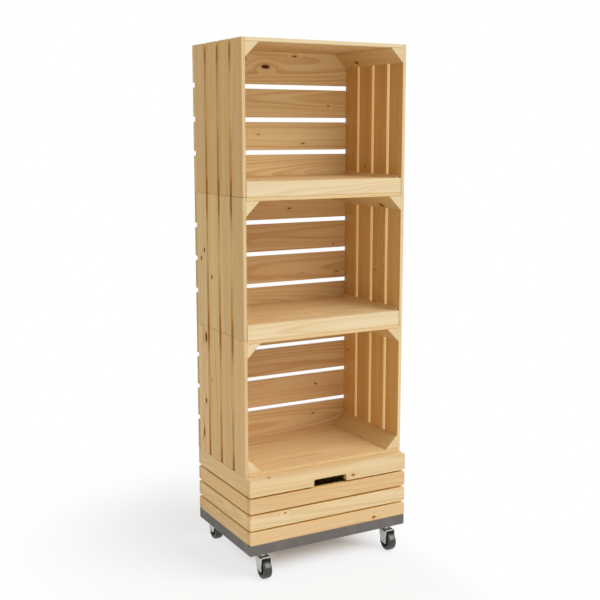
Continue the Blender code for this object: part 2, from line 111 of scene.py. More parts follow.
# How a section is set in a board, with its depth along the board's own X or along its own Y, and how a
# turned shape is set on an axle
SECTION_ALONG = Matrix(((0, 0, 1, 0), (1, 0, 0, 0), (0, 1, 0, 0), (0, 0, 0, 1)))
SECTION_ACROSS = Matrix(((1, 0, 0, 0), (0, 0, 1, 0), (0, 1, 0, 0), (0, 0, 0, 1)))
AXLE_TURN = Matrix.Rotation(math.pi / 2, 4, "Y")

# How many times as long as wide a knot usually is
KNOT_STRETCH = 2.4

# Knots seen on single boards: how far along and across from the board's middle, their radius across the
# grain, and how many times as long as wide they are
KNOTS = {
    "middle_crate_left_slat_4": ((0.026, -0.016, 0.0046, 1.35), (0.003, 0.004, 0.0042, 1.4)),
    "middle_crate_left_slat_3": ((-0.039, 0.011, 0.0034, 1.6),),
    "bottom_crate_left_slat_4": (
        (0.143, -0.020, 0.0066, KNOT_STRETCH), (-0.028, -0.014, 0.0056, 1.5), (-0.118, 0.000, 0.0044, 4.2),
    ),
    "bottom_crate_left_slat_3": ((0.036, 0.016, 0.0021, 1.3),),
    "base_front_plank_4": ((0.068, -0.0105, 0.0040, 1.6), (-0.176, 0.0212, 0.0011, 4.4)),
    "base_front_plank_2": ((-0.132, 0.013, 0.0018, 2.0),),
    "base_front_plank_1": ((0.133, -0.008, 0.0046, 1.5),),
    "top_crate_back_plank_4": (
        (-0.027, -0.001, 0.0052, KNOT_STRETCH), (0.060, 0.028, 0.0022, KNOT_STRETCH),
    ),
    "top_crate_right_upper_post": ((0.065, 0.001, 0.0044, KNOT_STRETCH),),
    "middle_crate_right_upper_post": ((-0.060, 0.004, 0.0046, KNOT_STRETCH),),
}

# The custom properties that carry a board's knots
KNOT_LABELS = ("knot_a", "knot_b", "knot_c")

# Knots that turn up by chance: their radii, most of them none, and the shares of a board's half length and
# half width that they keep to
CHANCE_KNOTS = (0.0, 0.0, 0.0, 0.0, 0.0012, 0.0018)
CHANCE_ALONG, CHANCE_ACROSS = 0.9, 0.75

# Boards without any knot
CLEAR_BOARDS = {
    "base_front_plank_3", "top_crate_apron_board", "middle_crate_apron_board",
    *(f"base_left_plank_{number}" for number in SLAT_NUMBERS),
    *(f"top_crate_left_slat_{number}" for number in SLAT_NUMBERS),
    *(f"{crate}_left_slat_{number}" for crate in ("middle_crate", "bottom_crate") for number in (1, 2)),
}

# How boards vary by chance: the range of their grain's seed and of their tone, and how far beside a
# straight-grained board its pith lies
SEED_RANGE = (0.0, 40.0)
TONE_RANGE = (0.96, 1.03)
PITH_BESIDE = (0.055, 0.095)

# Boards that are paler, darker or yellower than their neighbours
BOARD_TONES = {
    "bottom_crate_left_slat_4": (1.09, 1.14, 1.22),
    "middle_crate_left_slat_4": (1.02, 1.07, 1.14),
    "top_crate_left_slat_2": (0.98, 0.95, 0.86),
    "base_front_plank_3": (0.94, 0.95, 0.95),
}

# How the wood of each crate differs: its sides, and its back, whose tint paints light into the top crate and
# shade into the middle one
SIDE_TINTS = {
    "bottom_crate": (1.03, 1.01, 0.97), "middle_crate": (0.98, 0.99, 0.95), "top_crate": (0.92, 0.89, 0.82),
}
BACK_LIGHT_AND_SHADE = {
    "bottom_crate": PLAIN, "middle_crate": (0.97, 0.98, 0.95), "top_crate": (1.17, 1.30, 1.35),
}

# Painted shade on the inner faces of the right side's slats: darker and warmer, as they look in the crates'
# shade
RIGHT_INNER_SHADE = (0.97, 0.885, 0.70)

# Painted light and shade on the upright slats' narrow faces, from the front slat backwards: the lit ones
# paint the light on the front edges and, on the right side, the light that falls through the gaps, and they
# don't follow their slat's own tint; the slats after them, in the gaps of the left side, have the painted gap
# shade
LIT_RIMS = {
    "left": ((0.92, 0.99, 1.17),),
    "right": ((1.03, 1.15, 1.48), (1.12, 1.15, 1.17), (1.00, 1.00, 0.96), (0.95, 0.92, 0.86)),
}
GAP_SHADE_RIM = (1.00, 0.98, 0.90)

# The base's level slats by their number: how resinous they are in front and at the back, how resinous at the
# two ends, and the tint of their narrow faces in the gaps, which paints the light and shade seen in the gaps
FRONT_AMBERS = {1: 0.25, 2: 0.0, 3: 0.27, 4: 0.03}
END_AMBERS = {1: 0.09, 2: 0.0, 3: 0.14, 4: 0.0}
GAP_RIM_LIGHTING = {1: (1.30, 1.28, 1.00), 2: (1.16, 1.07, 0.82), 3: (1.31, 1.24, 0.96), 4: PLAIN}

# Tints of sawn ends: of most boards, darker end grain; of the back slats, end grain with painted shade; of
# the corner posts, a lift that takes their painted shade off their pale front ends; and of the dolly, painted
# light that makes its ends as bright as its front
BOARD_END = (0.92, 0.88, 0.82)
BACK_END_SHADE = (0.84, 0.80, 0.73)
POST_END_UNSHADED = (1.07, 1.22, 1.69)
DOLLY_END_LIGHT = (1.46, 1.46, 1.48)

# Painted shade on the corner posts, painted light on the base's two ends and the sawn ends beside them, and
# painted light on the edges of the stand's topmost board
POST_SHADE = (0.91, 0.79, 0.57)
BASE_END_LIGHT = (1.14, 1.05, 0.88)
TOP_EDGE_LIGHT = (1.03, 1.16, 1.42)

# Widths of the strips that panels are glued up from, and one that leaves a board whole
PANEL_STRIP, DECK_STRIP, LID_STRIP = 0.092, 0.088, 0.095
WHOLE = 10.0

# Roundings of single outlines and edges
POST_CORNER, PANEL_CORNER, DECK_CORNER, APRON_CORNER = 0.0006, 0.0006, 0.0005, 0.0009
LID_ROUND, INNER_POST_ROUND, BASE_END_CORNER, NOTCH_FOOT = 0.0008, 0.001, 0.0008, 0.0012
PLATE_EDGE, FORK_EDGE, RIB_EDGE = 0.0006, 0.0005, 0.0003

# Shares of the usual rounding that the posts' edges and the crisp edges of sawn ends keep
POST_EDGE, CRISP = 0.6, 0.2

# The play of an apron at each of its ends
APRON_PLAY = 0.0006

# Edges sharper than this are rounded, and points closer than this are one
SHARP_ANGLE = math.radians(40)
MERGE_DISTANCE = 0.000005

# A brad's head as (radius, height), and where brads sit: on an upright slat across from its middle and in
# from its end, and on level slats in from the end and at shares of the width. Chance moves each a little
BRAD_PROFILE = ((0.0, 0.00022), (0.0005, 0.00019), (0.0008, 0.00008), (0.0009, -0.0006))
SIDE_BRADS, SIDE_CHANCE = ((-0.014, 0.022), (0.013, 0.034)), 0.002
BACK_BRAD_INSET, BACK_BRADS, BACK_INSET_CHANCE, BACK_CHANCE = 0.0045, (0.27, 0.73), 0.0012, 0.03
BASE_BRAD_INSET, BASE_BRADS, BASE_CHANCE = 0.024, (0.3, 0.7), 0.003

# Profiles of heads as (share of the head's radius, height, rounding): a screw's, and the upper part of an
# axle's rivet above its shank
SCREW_PROFILE = (
    (0.0, -0.0009, 0.0), (0.24, -0.0009, 0.0002), (0.36, -0.0021, 0.0002), (0.62, -0.0022, 0.0008),
    (1.0, -0.0008, 0.0006), (1.0, 0.0008, 0.0), (0.0, 0.0008, 0.0),
)
RIVET_PROFILE = (
    (0.0, -0.0012, 0.0), (0.34, -0.0008, 0.0003), (0.42, 0.0013, 0.0003), (0.85, 0.0011, 0.0005),
    (1.0, 0.0, 0.0),
)

# The swivel races: how far the upper one reaches into its plate, how wide their lips are and where their
# floors begin, both in from the rim, how deep the upper and the lower floor lie, how far the lower race
# slopes in, and the roundings of their rims and lips
PLATE_BITE = 0.001
RACE_LIP, RACE_FLOOR = 0.004, 0.005
UPPER_RECESS, LOWER_RECESS = 0.0012, 0.0009
RACE_SLOPE = 0.0010
UPPER_ROUND, LOWER_ROUND, LIP_ROUND = 0.0012, 0.0010, 0.0003

# The kingpin's riveted head: its height, and its upper and lower rounding
PIN_HEAD_HEIGHT = 0.002
PIN_HEAD_UPPER, PIN_HEAD_LOWER = 0.0004, 0.0010

# The fork's bends and its crown: steps of a bend, rounding of the heel, and the tongue behind the legs
BEND_STEPS = 6
HEEL_ROUND = 0.003
SHOULDER, SHOULDER_ROUND, TONGUE_ROUND = 0.0025, 0.0015, 0.011

# The hub: how far its rim stays inside the tyre's width and its ribs inside the rim's, how far the ribs reach
# into boss and rim, a rib's half thickness and corner, the drafts of boss and rim, and the roundings from the
# bore out
RIM_INSET, RIB_INSET, RIB_BITE, RIB_HALF, RIB_CORNER = 0.001, 0.0012, 0.0012, 0.0008, 0.0003
BOSS_DRAFT, RIM_DRAFT = 0.0006, 0.0004
HUB_ROUNDS = (0.0, 0.0008, 0.0010, 0.0010, 0.0007, 0.0005)

# The tyre: depth, width and roundings of its bead, how far its shoulder lies inside the tread, and the
# tread's flat half width and its rounding
BEAD_DEPTH, BEAD_WIDTH, BEAD_INNER, BEAD_OUTER = 0.0006, 0.0012, 0.0003, 0.0006
SHOULDER_DROP, TREAD_HALF, TREAD_ROUND = 0.0006, 0.0042, 0.0020

# The floor, measured outwards from the sides of the stand: where the shade under it runs out, where the lift
# of its shadow changes, where its right side turns white, and the place that stands for a mirrored floor
UNDER_RANGE = (-0.16, -0.04)
SKIRT_RANGE = (-0.02, 0.06)
LIT_RANGE = (-0.05, 0.09)
MIRRORED_AT = -0.08

# How far the floor lies below the wheels, its segments, and the width of the camera's sensor in millimetres
FLOOR_DROP, FLOOR_SEGMENTS = 0.0002, 96
SENSOR_WIDTH = 36.0

# Steps of a rounded corner and of a tyre's, and segments of turned shapes
ROUND_STEPS, TYRE_ROUND_STEPS = 5, 7
BRAD_STEPS, SCREW_STEPS, AXLE_STEPS, WHEEL_STEPS, TYRE_STEPS = 10, 24, 32, 64, 72


def srgb(red, green, blue):
    """A screen colour, 0 to 255, as Blender's linear values."""
    shares = [value / 255 for value in (red, green, blue)]
    return tuple(v / 12.92 if v <= 0.04045 else ((v + 0.055) / 1.055) ** 2.4 for v in shares)


def length(label, about, default):
    """A size in metres."""
    return FloatProperty(name=label, description=about, default=default, min=0.0, precision=4, unit="LENGTH")


def share(label, about, default):
    """A share from 0 to 1."""
    return FloatProperty(name=label, description=about, default=default, min=0.0, max=1.0, subtype="FACTOR")


def colour(label, about, screen):
    """A surface colour, given as it looks on a screen."""
    return FloatVectorProperty(
        name=label, description=about, default=srgb(*screen), size=3, min=0.0, max=1.0, subtype="COLOR"
    )


class CrateSizes(PropertyGroup):
    """Sizes of the boards in the three crates."""

    slat_count: IntProperty(
        name="Side slats", description="Upright slats in each crate side", default=4, min=2
    )
    slat_width: length("Slat width", "Width of an upright side slat", 0.060)
    slat_thickness: length("Slat thickness", "Thickness of an upright side slat", 0.009)
    post_leg: length("Post leg", "Short side of a triangular corner post", 0.036)
    corner: length("Board corner", "Rounding of a board's outline", 0.0010)
    edge: length("Board edge", "Rounding along a board's edges", 0.0005)
    trim: length("End trim", "Most that a saw cut leaves a slat short of the crate's height", 0.0002)


class BaseSizes(PropertyGroup):
    """Sizes of the slatted base crate and the dolly board."""

    corner: length("Slat corner", "Rounding of a base slat's outline", 0.0046)
    edge: length("Slat edge", "Rounding along a base slat's edges", 0.0015)
    post_side: length("Post side", "Side of a square inner post", 0.032)
    hole_width: length("Hand-hole width", "Width of the finger notch", 0.096)
    hole_height: length("Hand-hole height", "Height of the finger notch", 0.0175)
    hole_corner: length("Hand-hole corner", "Rounding of the notch's upper corners", 0.005)
    dolly_corner: length("Dolly corner", "Rounding of the dolly board's upright corners", 0.0030)
    dolly_edge: length("Dolly edge", "Rounding along the dolly board's edges", 0.0012)


class CasterSizes(PropertyGroup):
    """Sizes of one swivel caster."""

    wheel_diameter: length("Wheel diameter", "Across the tread", 0.050)
    wheel_width: length("Wheel width", "Over the tyre", 0.022)
    tyre_depth: length("Tyre depth", "Rubber between the tread and the hub", 0.0075)
    tyre_shoulder: length("Tyre shoulder", "Rounding between tread and side wall", 0.0050)
    leg_gap: length("Leg gap", "From the wheel's middle to a leg's inner face", 0.0125)
    sheet: length("Sheet", "Thickness of the pressed steel", 0.0025)
    bend: length("Bend", "Outer radius of the bends between crown and legs", 0.0045)
    crown_top: length("Crown height", "From the floor to the crown's upper face", 0.0577)
    crown_back: length("Crown back", "From the kingpin to the crown's back edge", 0.018)
    leg_ahead: length("Leg ahead", "From the axle to the legs' front edges", 0.010)
    leg_top: length("Leg top", "Length of a leg under the crown", 0.032)
    leg_bottom: length("Leg bottom", "Length of a leg at its foot", 0.023)
    leg_below: length("Leg below axle", "From the axle down to a leg's toe", 0.0055)
    leg_slant: length("Leg slant", "How much higher the heel is than the toe", 0.005)
    leg_corner: length("Leg corner", "Rounding of a leg's toe", 0.005)
    race_diameter: length("Race diameter", "Across the swivel bearing", 0.031)
    race_split: length("Race split", "From the floor to the top of the fork's race", 0.0607)
    kingpin_diameter: length("Kingpin diameter", "Across the swivel pin", 0.008)
    kingpin_head: length("Kingpin head", "Across the riveted head under the crown", 0.014)
    plate_side: length("Plate side", "Side of the top plate", 0.048)
    plate_corner: length("Plate corner", "Rounding of the plate's corners", 0.007)
    plate_bottom: length("Plate height", "From the floor to the plate's underside", 0.0645)
    screw_inset: length("Screw inset", "From the plate's edges to a screw", 0.008)
    screw_head: length("Screw head", "Across a screw head", 0.0086)
    axle_diameter: length("Axle diameter", "Across the axle", 0.005)
    axle_head: length("Axle head", "Across the axle's riveted heads", 0.007)
    hub_boss: length("Hub boss", "Across the hub's middle", 0.015)
    hub_web: length("Hub web", "Thickness between boss and rim", 0.009)
    hub_rim: length("Hub rim", "Depth of the rim that holds the tyre", 0.003)
    hub_ribs: IntProperty(name="Hub ribs", description="Ribs on each side of the web", default=6, min=1)


class WoodLook(PropertyGroup):
    """Colours and grain of the sawn pine."""

    side_early: colour("Side slats, pale", "Early wood of the crates' sides", (234, 200, 142))
    side_late: colour("Side slats, dark", "Late wood of the crates' sides", (200, 150, 88))
    back_early: colour("Back slats, pale", "Early wood of the crates' backs", (236, 203, 152))
    back_late: colour("Back slats, dark", "Late wood of the crates' backs", (208, 156, 98))
    board_early: colour("Boards, pale", "Early wood of tops, floors, decks and lid", (230, 202, 152))
    board_late: colour("Boards, dark", "Late wood of tops, floors, decks and lid", (200, 156, 98))
    apron_early: colour("Aprons, pale", "Early wood of the crates' aprons", (233, 214, 175))
    apron_late: colour("Aprons, dark", "Late wood of the crates' aprons", (210, 174, 120))
    base_early: colour("Base, pale", "Early wood of the base's slats", (231, 208, 165))
    base_late: colour("Base, dark", "Late wood of the base's slats", (205, 163, 104))
    amber: colour("Amber", "Resin-rich wood round the knots", (205, 142, 70))
    knot: colour("Knot", "The heart of a knot", (76, 36, 4))
    pale_knot: colour("Pale knot", "The heart of a knot in the base and the aprons", (140, 94, 46))
    ring_width: length("Ring width", "Growth of one year", 0.0048)
    contrast: share("Ring contrast", "How far late wood darkens", 0.55)
    calm: share("Calm contrast", "How far late wood darkens in the base and the aprons", 0.34)


class MetalLook(PropertyGroup):
    """Colours of the dolly's paint and of the casters."""

    paint: colour("Dolly paint", "Dark grey satin paint", (105, 99, 95))
    paint_worn: colour("Worn paint", "Paint rubbed thin along the edges", (138, 134, 127))
    zinc: colour("Zinc", "Zinc-plated sheet steel", (206, 205, 199))
    # On the plates and screws under the dolly this colour is painted shade; on the nails' heads it is dirt
    grime_and_shade: colour("Grime", "Dirt on the plates and screws under the dolly", (62, 59, 54))
    steel: colour("Axle steel", "Bright steel of the axles", (214, 213, 210))
    plastic: colour("Hub plastic", "Dark grey moulded plastic", (60, 59, 57))
    rubber: colour("Rubber", "Dark grey rubber tyre", (41, 38, 34))
    dust_and_shade: colour("Dust", "Floor dust on rubber and plastic", (128, 124, 116))


class StageLook(PropertyGroup):
    """The camera, the floor and the studio light."""

    camera_place: FloatVectorProperty(
        name="Camera place", description="Where the camera stands", default=(-1.2780, -2.3086, 1.1079),
        size=3, subtype="TRANSLATION", unit="LENGTH",
    )
    camera_yaw: FloatProperty(
        name="Camera yaw", description="Turn to the right of straight ahead", default=0.5046, subtype="ANGLE"
    )
    camera_pitch: FloatProperty(
        name="Camera pitch", description="Turn above the level", default=-0.1634, subtype="ANGLE"
    )
    camera_lens: FloatProperty(
        name="Camera lens", description="Focal length in millimetres", default=61.22, unit="CAMERA"
    )
    floor: colour("Floor", "Pale studio floor", (243, 243, 242))
    floor_radius: length("Floor radius", "From the stand to the floor's edge", 9.0)
    fade_start: length("Fade start", "Where the floor begins to turn white", 0.36)
    fade_end: length("Fade end", "Where the floor is white", 0.90)
    shade: colour("Shade", "Tone of the shadow right under the stand", (255, 234, 214))
    lift_deep: share("Deep lift", "How far the floor under the stand's middle is lifted to white", 0.235)
    lift_edge: share("Edge lift", "How far the floor under the stand's edges is lifted to white", 0.73)
    lift: share("Lift", "How far the floor round the stand is lifted to white", 0.65)
    room_light: FloatProperty(
        name="Room light", description="Even light from all around", default=0.52, min=0.0
    )
    key_light: FloatProperty(
        name="Key light", description="Strength of the soft key light", default=2.0, min=0.0
    )
    key_from: FloatVectorProperty(
        name="Key direction", description="From the stand towards the key light", default=(0.25, -0.42, 0.50),
        size=3, subtype="DIRECTION",
    )
    key_spread: FloatProperty(
        name="Key spread", description="How wide the key light looks from the stand",
        default=math.radians(50), subtype="ANGLE",
    )


class StandSettings(PropertyGroup):
    """Everything that a user would change."""

    crate: PointerProperty(type=CrateSizes)
    base: PointerProperty(type=BaseSizes)
    caster: PointerProperty(type=CasterSizes)
    wood: PointerProperty(type=WoodLook)
    metal: PointerProperty(type=MetalLook)
    stage: PointerProperty(type=StageLook)


# Shader nodes

# Nodes are laid out in columns of so many, this far apart
NODE_ROWS = 8
NODE_SPACING = 190


class Graph:
    """Adds nodes to one tree and links them."""

    def __init__(self, tree):
        self.tree = tree

    def node(self, kind, inputs=None, **settings):
        """A node with its settings, and a value or a link for each input named or numbered."""
        made = self.tree.nodes.new(kind)
        column, row = divmod(len(self.tree.nodes), NODE_ROWS)
        made.location = (NODE_SPACING * column, -NODE_SPACING * row)
        for setting, value in settings.items():
            setattr(made, setting, value)
        for socket, value in (inputs or {}).items():
            if isinstance(value, bpy.types.NodeSocket):
                self.tree.links.new(value, made.inputs[socket])
            else:
                made.inputs[socket].default_value = value
        return made

    def math(self, operation, first, second=0.0, third=0.5):
        """One sum of two numbers, or of three where the operation takes as many."""
        inputs = {0: first, 1: second, 2: third}
        return self.node("ShaderNodeMath", inputs, operation=operation).outputs[0]

    def fold(self, operation, values):
        """The same sum over several numbers."""
        total = values[0]
        for value in values[1:]:
            total = self.math(operation, total, value)
        return total

    def distance(self, across, up):
        """How far a place is from zero, by its measures along two axes."""
        squares = [self.math("MULTIPLY", value, value) for value in (across, up)]
        return self.math("SQRT", self.fold("ADD", squares))

    def signed(self, value, spread):
        """A value from 0 to 1 turned into a spread about zero."""
        return self.math("MULTIPLY", self.math("SUBTRACT", value, 0.5), spread)

    def vector(self, operation, first, second=(0, 0, 0)):
        """One sum of two vectors."""
        return self.node("ShaderNodeVectorMath", {0: first, 1: second}, operation=operation).outputs[0]

    def split(self, vector):
        """The three numbers of a vector or a colour."""
        return self.node("ShaderNodeSeparateXYZ", {0: vector}).outputs

    def join(self, x, y, z):
        """Three numbers as one vector."""
        return self.node("ShaderNodeCombineXYZ", {0: x, 1: y, 2: z}).outputs[0]

    def step(self, value, low, high, start=0.0, end=1.0):
        """A smooth rise from start at low to end at high."""
        inputs = {0: value, 1: low, 2: high, 3: start, 4: end}
        return self.node("ShaderNodeMapRange", inputs, interpolation_type="SMOOTHSTEP").outputs[0]

    def mix(self, factor, first, second, blend="MIX"):
        """Two colours mixed."""
        inputs = {0: factor, 6: first, 7: second}
        return self.node("ShaderNodeMix", inputs, data_type="RGBA", blend_type=blend).outputs[2]

    def noise(self, place, detail=2.0, scale=1.0):
        """Soft noise: its value and its colour."""
        inputs = {"Vector": place, "Scale": scale, "Detail": detail}
        return self.node("ShaderNodeTexNoise", inputs).outputs

    def trait(self, name, output="Fac"):
        """A value that each piece carries as a custom property."""
        return self.node("ShaderNodeAttribute", attribute_type="OBJECT", attribute_name=name).outputs[output]

    def group(self, name, inputs):
        """A node group placed with its own values."""
        return self.node("ShaderNodeGroup", inputs, node_tree=bpy.data.node_groups[name]).outputs


def new_group(name, inputs, outputs):
    """An empty node group with its sockets, its graph, its input sockets and its output node."""
    tree = bpy.data.node_groups.new(name, "ShaderNodeTree")
    for label, kind in inputs:
        tree.interface.new_socket(label, in_out="INPUT", socket_type=f"NodeSocket{kind}")
    for label, kind in outputs:
        tree.interface.new_socket(label, in_out="OUTPUT", socket_type=f"NodeSocket{kind}")
    graph = Graph(tree)
    return graph, graph.node("NodeGroupInput").outputs, graph.node("NodeGroupOutput")


# Rubbed edges: detail and scale of their frayed patches, how much the patches add to the reach and what it
# is without them, and where in that reach the rub begins and is full
FRAY_NOISE = (3.0, 90.0)
FRAY_REACH = (1.6, 0.5)
RUB_FADE = (1.0, 0.2)


def make_edge_rub():
    """A mask of the places near two faces of a board at once, which hands rub first."""
    graph, given, out = new_group(
        "edge_rub", [("Place", "Vector"), ("Half Size", "Vector"), ("Width", "Float")], [("Mask", "Float")]
    )
    inside = graph.vector("SUBTRACT", given["Half Size"], graph.vector("ABSOLUTE", given["Place"]))
    in_x, in_y, in_z = graph.split(inside)
    low, high = graph.math("MINIMUM", in_x, in_y), graph.math("MAXIMUM", in_x, in_y)
    middle = graph.math("MAXIMUM", low, graph.math("MINIMUM", high, in_z))
    frayed = graph.noise(given["Place"], *FRAY_NOISE)[0]
    reach = graph.math("MULTIPLY", given["Width"], graph.math("MULTIPLY_ADD", frayed, *FRAY_REACH))
    mask = graph.step(graph.math("DIVIDE", middle, reach), *RUB_FADE)
    graph.tree.links.new(mask, out.inputs["Mask"])


# Scuffs: detail and scale of the dull patches and where in their noise they lie, how the scratches are bent,
# how their two runs are stretched and how fine they are, and how much the patches dull by themselves
PATCH_NOISE = (4.0, 0.7)
PATCH_RANGE = (0.46, 0.72)
SCRATCH_BEND = (2.0, 1.3)
SCRATCH_RUNS = ((0.5, 9.0, 5.0), (8.0, 0.7, 6.0))
SCRATCH_EDGE = (0.018, 0.004)
PATCH_SHARE = 0.7


def make_scuffs():
    """A mask of fine scratches and dull patches."""
    graph, given, out = new_group(
        "scuffs", [("Place", "Vector"), ("Scale", "Float"), ("Amount", "Float")], [("Mask", "Float")]
    )
    scale = graph.join(given["Scale"], given["Scale"], given["Scale"])
    place = graph.vector("MULTIPLY", given["Place"], scale)
    patches = graph.step(graph.noise(place, *PATCH_NOISE)[0], *PATCH_RANGE)
    bent = graph.vector("ADD", place, graph.noise(place, *SCRATCH_BEND)[1])
    scratches = []
    for stretch in SCRATCH_RUNS:
        lines = graph.noise(graph.vector("MULTIPLY", bent, stretch), detail=1.0)[0]
        near = graph.math("ABSOLUTE", graph.math("SUBTRACT", lines, 0.5))
        scratches.append(graph.step(near, *SCRATCH_EDGE))
    marks = graph.math("MULTIPLY", graph.fold("MAXIMUM", scratches), patches)
    total = graph.math("ADD", graph.math("MULTIPLY", patches, PATCH_SHARE), marks)
    graph.tree.links.new(graph.math("MULTIPLY", total, given["Amount"]), out.inputs["Mask"])


# The pith of a strip, in metres: how far beside it and how far behind it, at least and beyond that, how
# far it drifts and how much it leans along the board. The seeds of neighbouring strips are a step apart
STRIP_STEP = 3.17
DRIFT_SCALE = (2.1, 7.0)
PITH_ASIDE = 0.055
PITH_BEHIND, PITH_BEYOND = 0.012, 0.050
PITH_DRIFT = 0.022
PITH_LEAN = 0.085


def pith_distance(graph, x, y, z, seed):
    """How far a place is from the pith of its own strip, and a slow wander of the wood's warmth."""
    strip = graph.trait("grain_strip")
    lane = graph.math("FLOOR", graph.math("ADD", graph.math("DIVIDE", y, strip), 0.5))
    lane_seed = graph.math("ADD", seed, graph.math("MULTIPLY", lane, STRIP_STEP))
    chance = {"Vector": graph.join(lane_seed, seed, 0.0)}
    luck = graph.node("ShaderNodeTexWhiteNoise", chance, noise_dimensions="2D").outputs["Color"]
    luck_aside, luck_behind, luck_lean = graph.split(luck)
    drift_x, drift_y = graph.math("MULTIPLY", x, DRIFT_SCALE[0]), graph.math("MULTIPLY", y, DRIFT_SCALE[1])
    drift = graph.noise(graph.join(drift_x, drift_y, lane_seed), detail=1.5)[1]
    drift_aside, drift_behind, warm = graph.split(drift)
    lane_y = graph.math("SUBTRACT", y, graph.math("MULTIPLY", lane, strip))
    aside = graph.fold("ADD", [
        lane_y, graph.trait("grain_offset"),
        graph.signed(luck_aside, PITH_ASIDE), graph.signed(drift_aside, PITH_DRIFT),
    ])
    depth = graph.math("ADD", graph.math("MULTIPLY", luck_behind, PITH_BEYOND), PITH_BEHIND)
    lean = graph.math("MULTIPLY", x, graph.signed(luck_lean, PITH_LEAN))
    behind = graph.fold("ADD", [z, depth, lean, graph.signed(drift_behind, PITH_DRIFT)])
    return graph.distance(aside, behind), warm


# A knot, in shares of its radius: where its heart, the resin round it and the swell of the rings begin and
# are full, and how ragged it is
KNOT_HEART = (1.05, 0.72)
KNOT_RESIN = (2.4, 0.9)
KNOT_SWELL = (5.0, 0.5)
KNOT_RAGGED = 0.9


def knot_masks(graph, x, y, streak):
    """Masks of the knots' hearts, of the resin round them and of the swell of the rings."""
    hearts, resins, swells = [], [], []
    stretches = graph.split(graph.trait("knot_stretch", "Vector"))
    for label, stretch in zip(KNOT_LABELS, stretches):
        along, across, size = graph.split(graph.trait(label, "Vector"))
        run = graph.math("DIVIDE", graph.math("SUBTRACT", x, along), stretch)
        far = graph.distance(run, graph.math("SUBTRACT", y, across))
        near = graph.math("DIVIDE", far, graph.math("MAXIMUM", size, TINY))
        near = graph.math("ADD", near, graph.signed(streak, KNOT_RAGGED))
        hearts.append(graph.step(near, *KNOT_HEART))
        resins.append(graph.step(near, *KNOT_RESIN))
        swells.append(graph.step(near, *KNOT_SWELL))
    return [graph.fold("MAXIMUM", masks) for masks in (hearts, resins, swells)]


# Year rings: how far a knot pushes them aside, how quickly and how much their width varies, how late wood
# sets in over a year and ends with it, and how much its share varies above the least
RING_PUSH = 1.7
RING_VARIES, RING_SPREAD = 0.6, 2.2
LATE_START, LATE_END = (0.15, 0.88), (0.88, 1.0)
LATE_SHARE = (0.65, 0.5)


def late_wood(graph, given, radius, swell, seed):
    """How much of a place is the dark late wood of its year."""
    rings = graph.math("DIVIDE", radius, given["Ring Width"])
    ring = graph.math("ADD", rings, graph.math("MULTIPLY", swell, RING_PUSH))
    along = graph.math("MULTIPLY", ring, RING_VARIES)
    uneven = graph.noise(graph.join(along, seed, 0.0), detail=1.0)[0]
    ring = graph.math("ADD", ring, graph.signed(uneven, RING_SPREAD))
    chance = {"W": graph.math("FLOOR", ring)}
    year = graph.node("ShaderNodeTexWhiteNoise", chance, noise_dimensions="1D").outputs["Value"]
    part = graph.math("FRACT", ring)
    band = graph.math("SUBTRACT", graph.step(part, *LATE_START), graph.step(part, *LATE_END))
    late = graph.math("MULTIPLY", band, graph.math("MULTIPLY_ADD", year, *LATE_SHARE))
    return graph.math("MULTIPLY", late, given["Contrast"])


# Noise scales of the fibres and the streaks along, across and through a board, and how much they darken it
FIBRE_SCALE, FIBRE_DARK = (14.0, 520.0, 520.0), 0.22
STREAK_SCALE, STREAK_DARK = (1.3, 46.0, 46.0), 1.36

# Where a face begins to count as turned to an axis and where it does fully, and the share of the figure that
# the narrow faces show
TURNED = (0.7, 0.98)
RIM_FIGURE = 0.45

# How the darkness runs from early to late wood, where the warm wood lies and what its tint is, and how
# strong the resin and the knots' hearts are
DARK_RANGE = (-0.35, 1.05)
WARM_RANGE, WARM_SHARE, WARM_TINT = (0.42, 0.75), 0.55, (1.0, 0.93, 0.80, 1.0)
RESIN_SHARE, HEART_SHARE = 0.38, 0.97

# Painted shade in the gaps, below a board's middle and near its ends, and the dirt of rubbed edges
LOW_RANGE, LOW_GAP_SHADE = (0.01, -0.075), (0.73, 0.68, 0.60, 1.0)
END_RANGE, END_GAP_SHADE = (0.085, 0.03), (0.84, 0.69, 0.46, 1.0)
RUB_WIDTH, RUB_SHARE, RUB_TINT = 0.0022, 0.14, (0.90, 0.82, 0.70, 1.0)

# Roughness of the pine and what fibres, streaks, ends, hearts and late wood change of it, and the shares of
# fibres and late wood in its relief
PINE_ROUGH, FIBRE_ROUGH, STREAK_ROUGH, END_ROUGH, HEART_ROUGH, LATE_SMOOTH = 0.54, 0.18, 0.10, 0.12, 0.4, 0.12
FIBRE_RELIEF, LATE_RELIEF = 0.5, 0.6


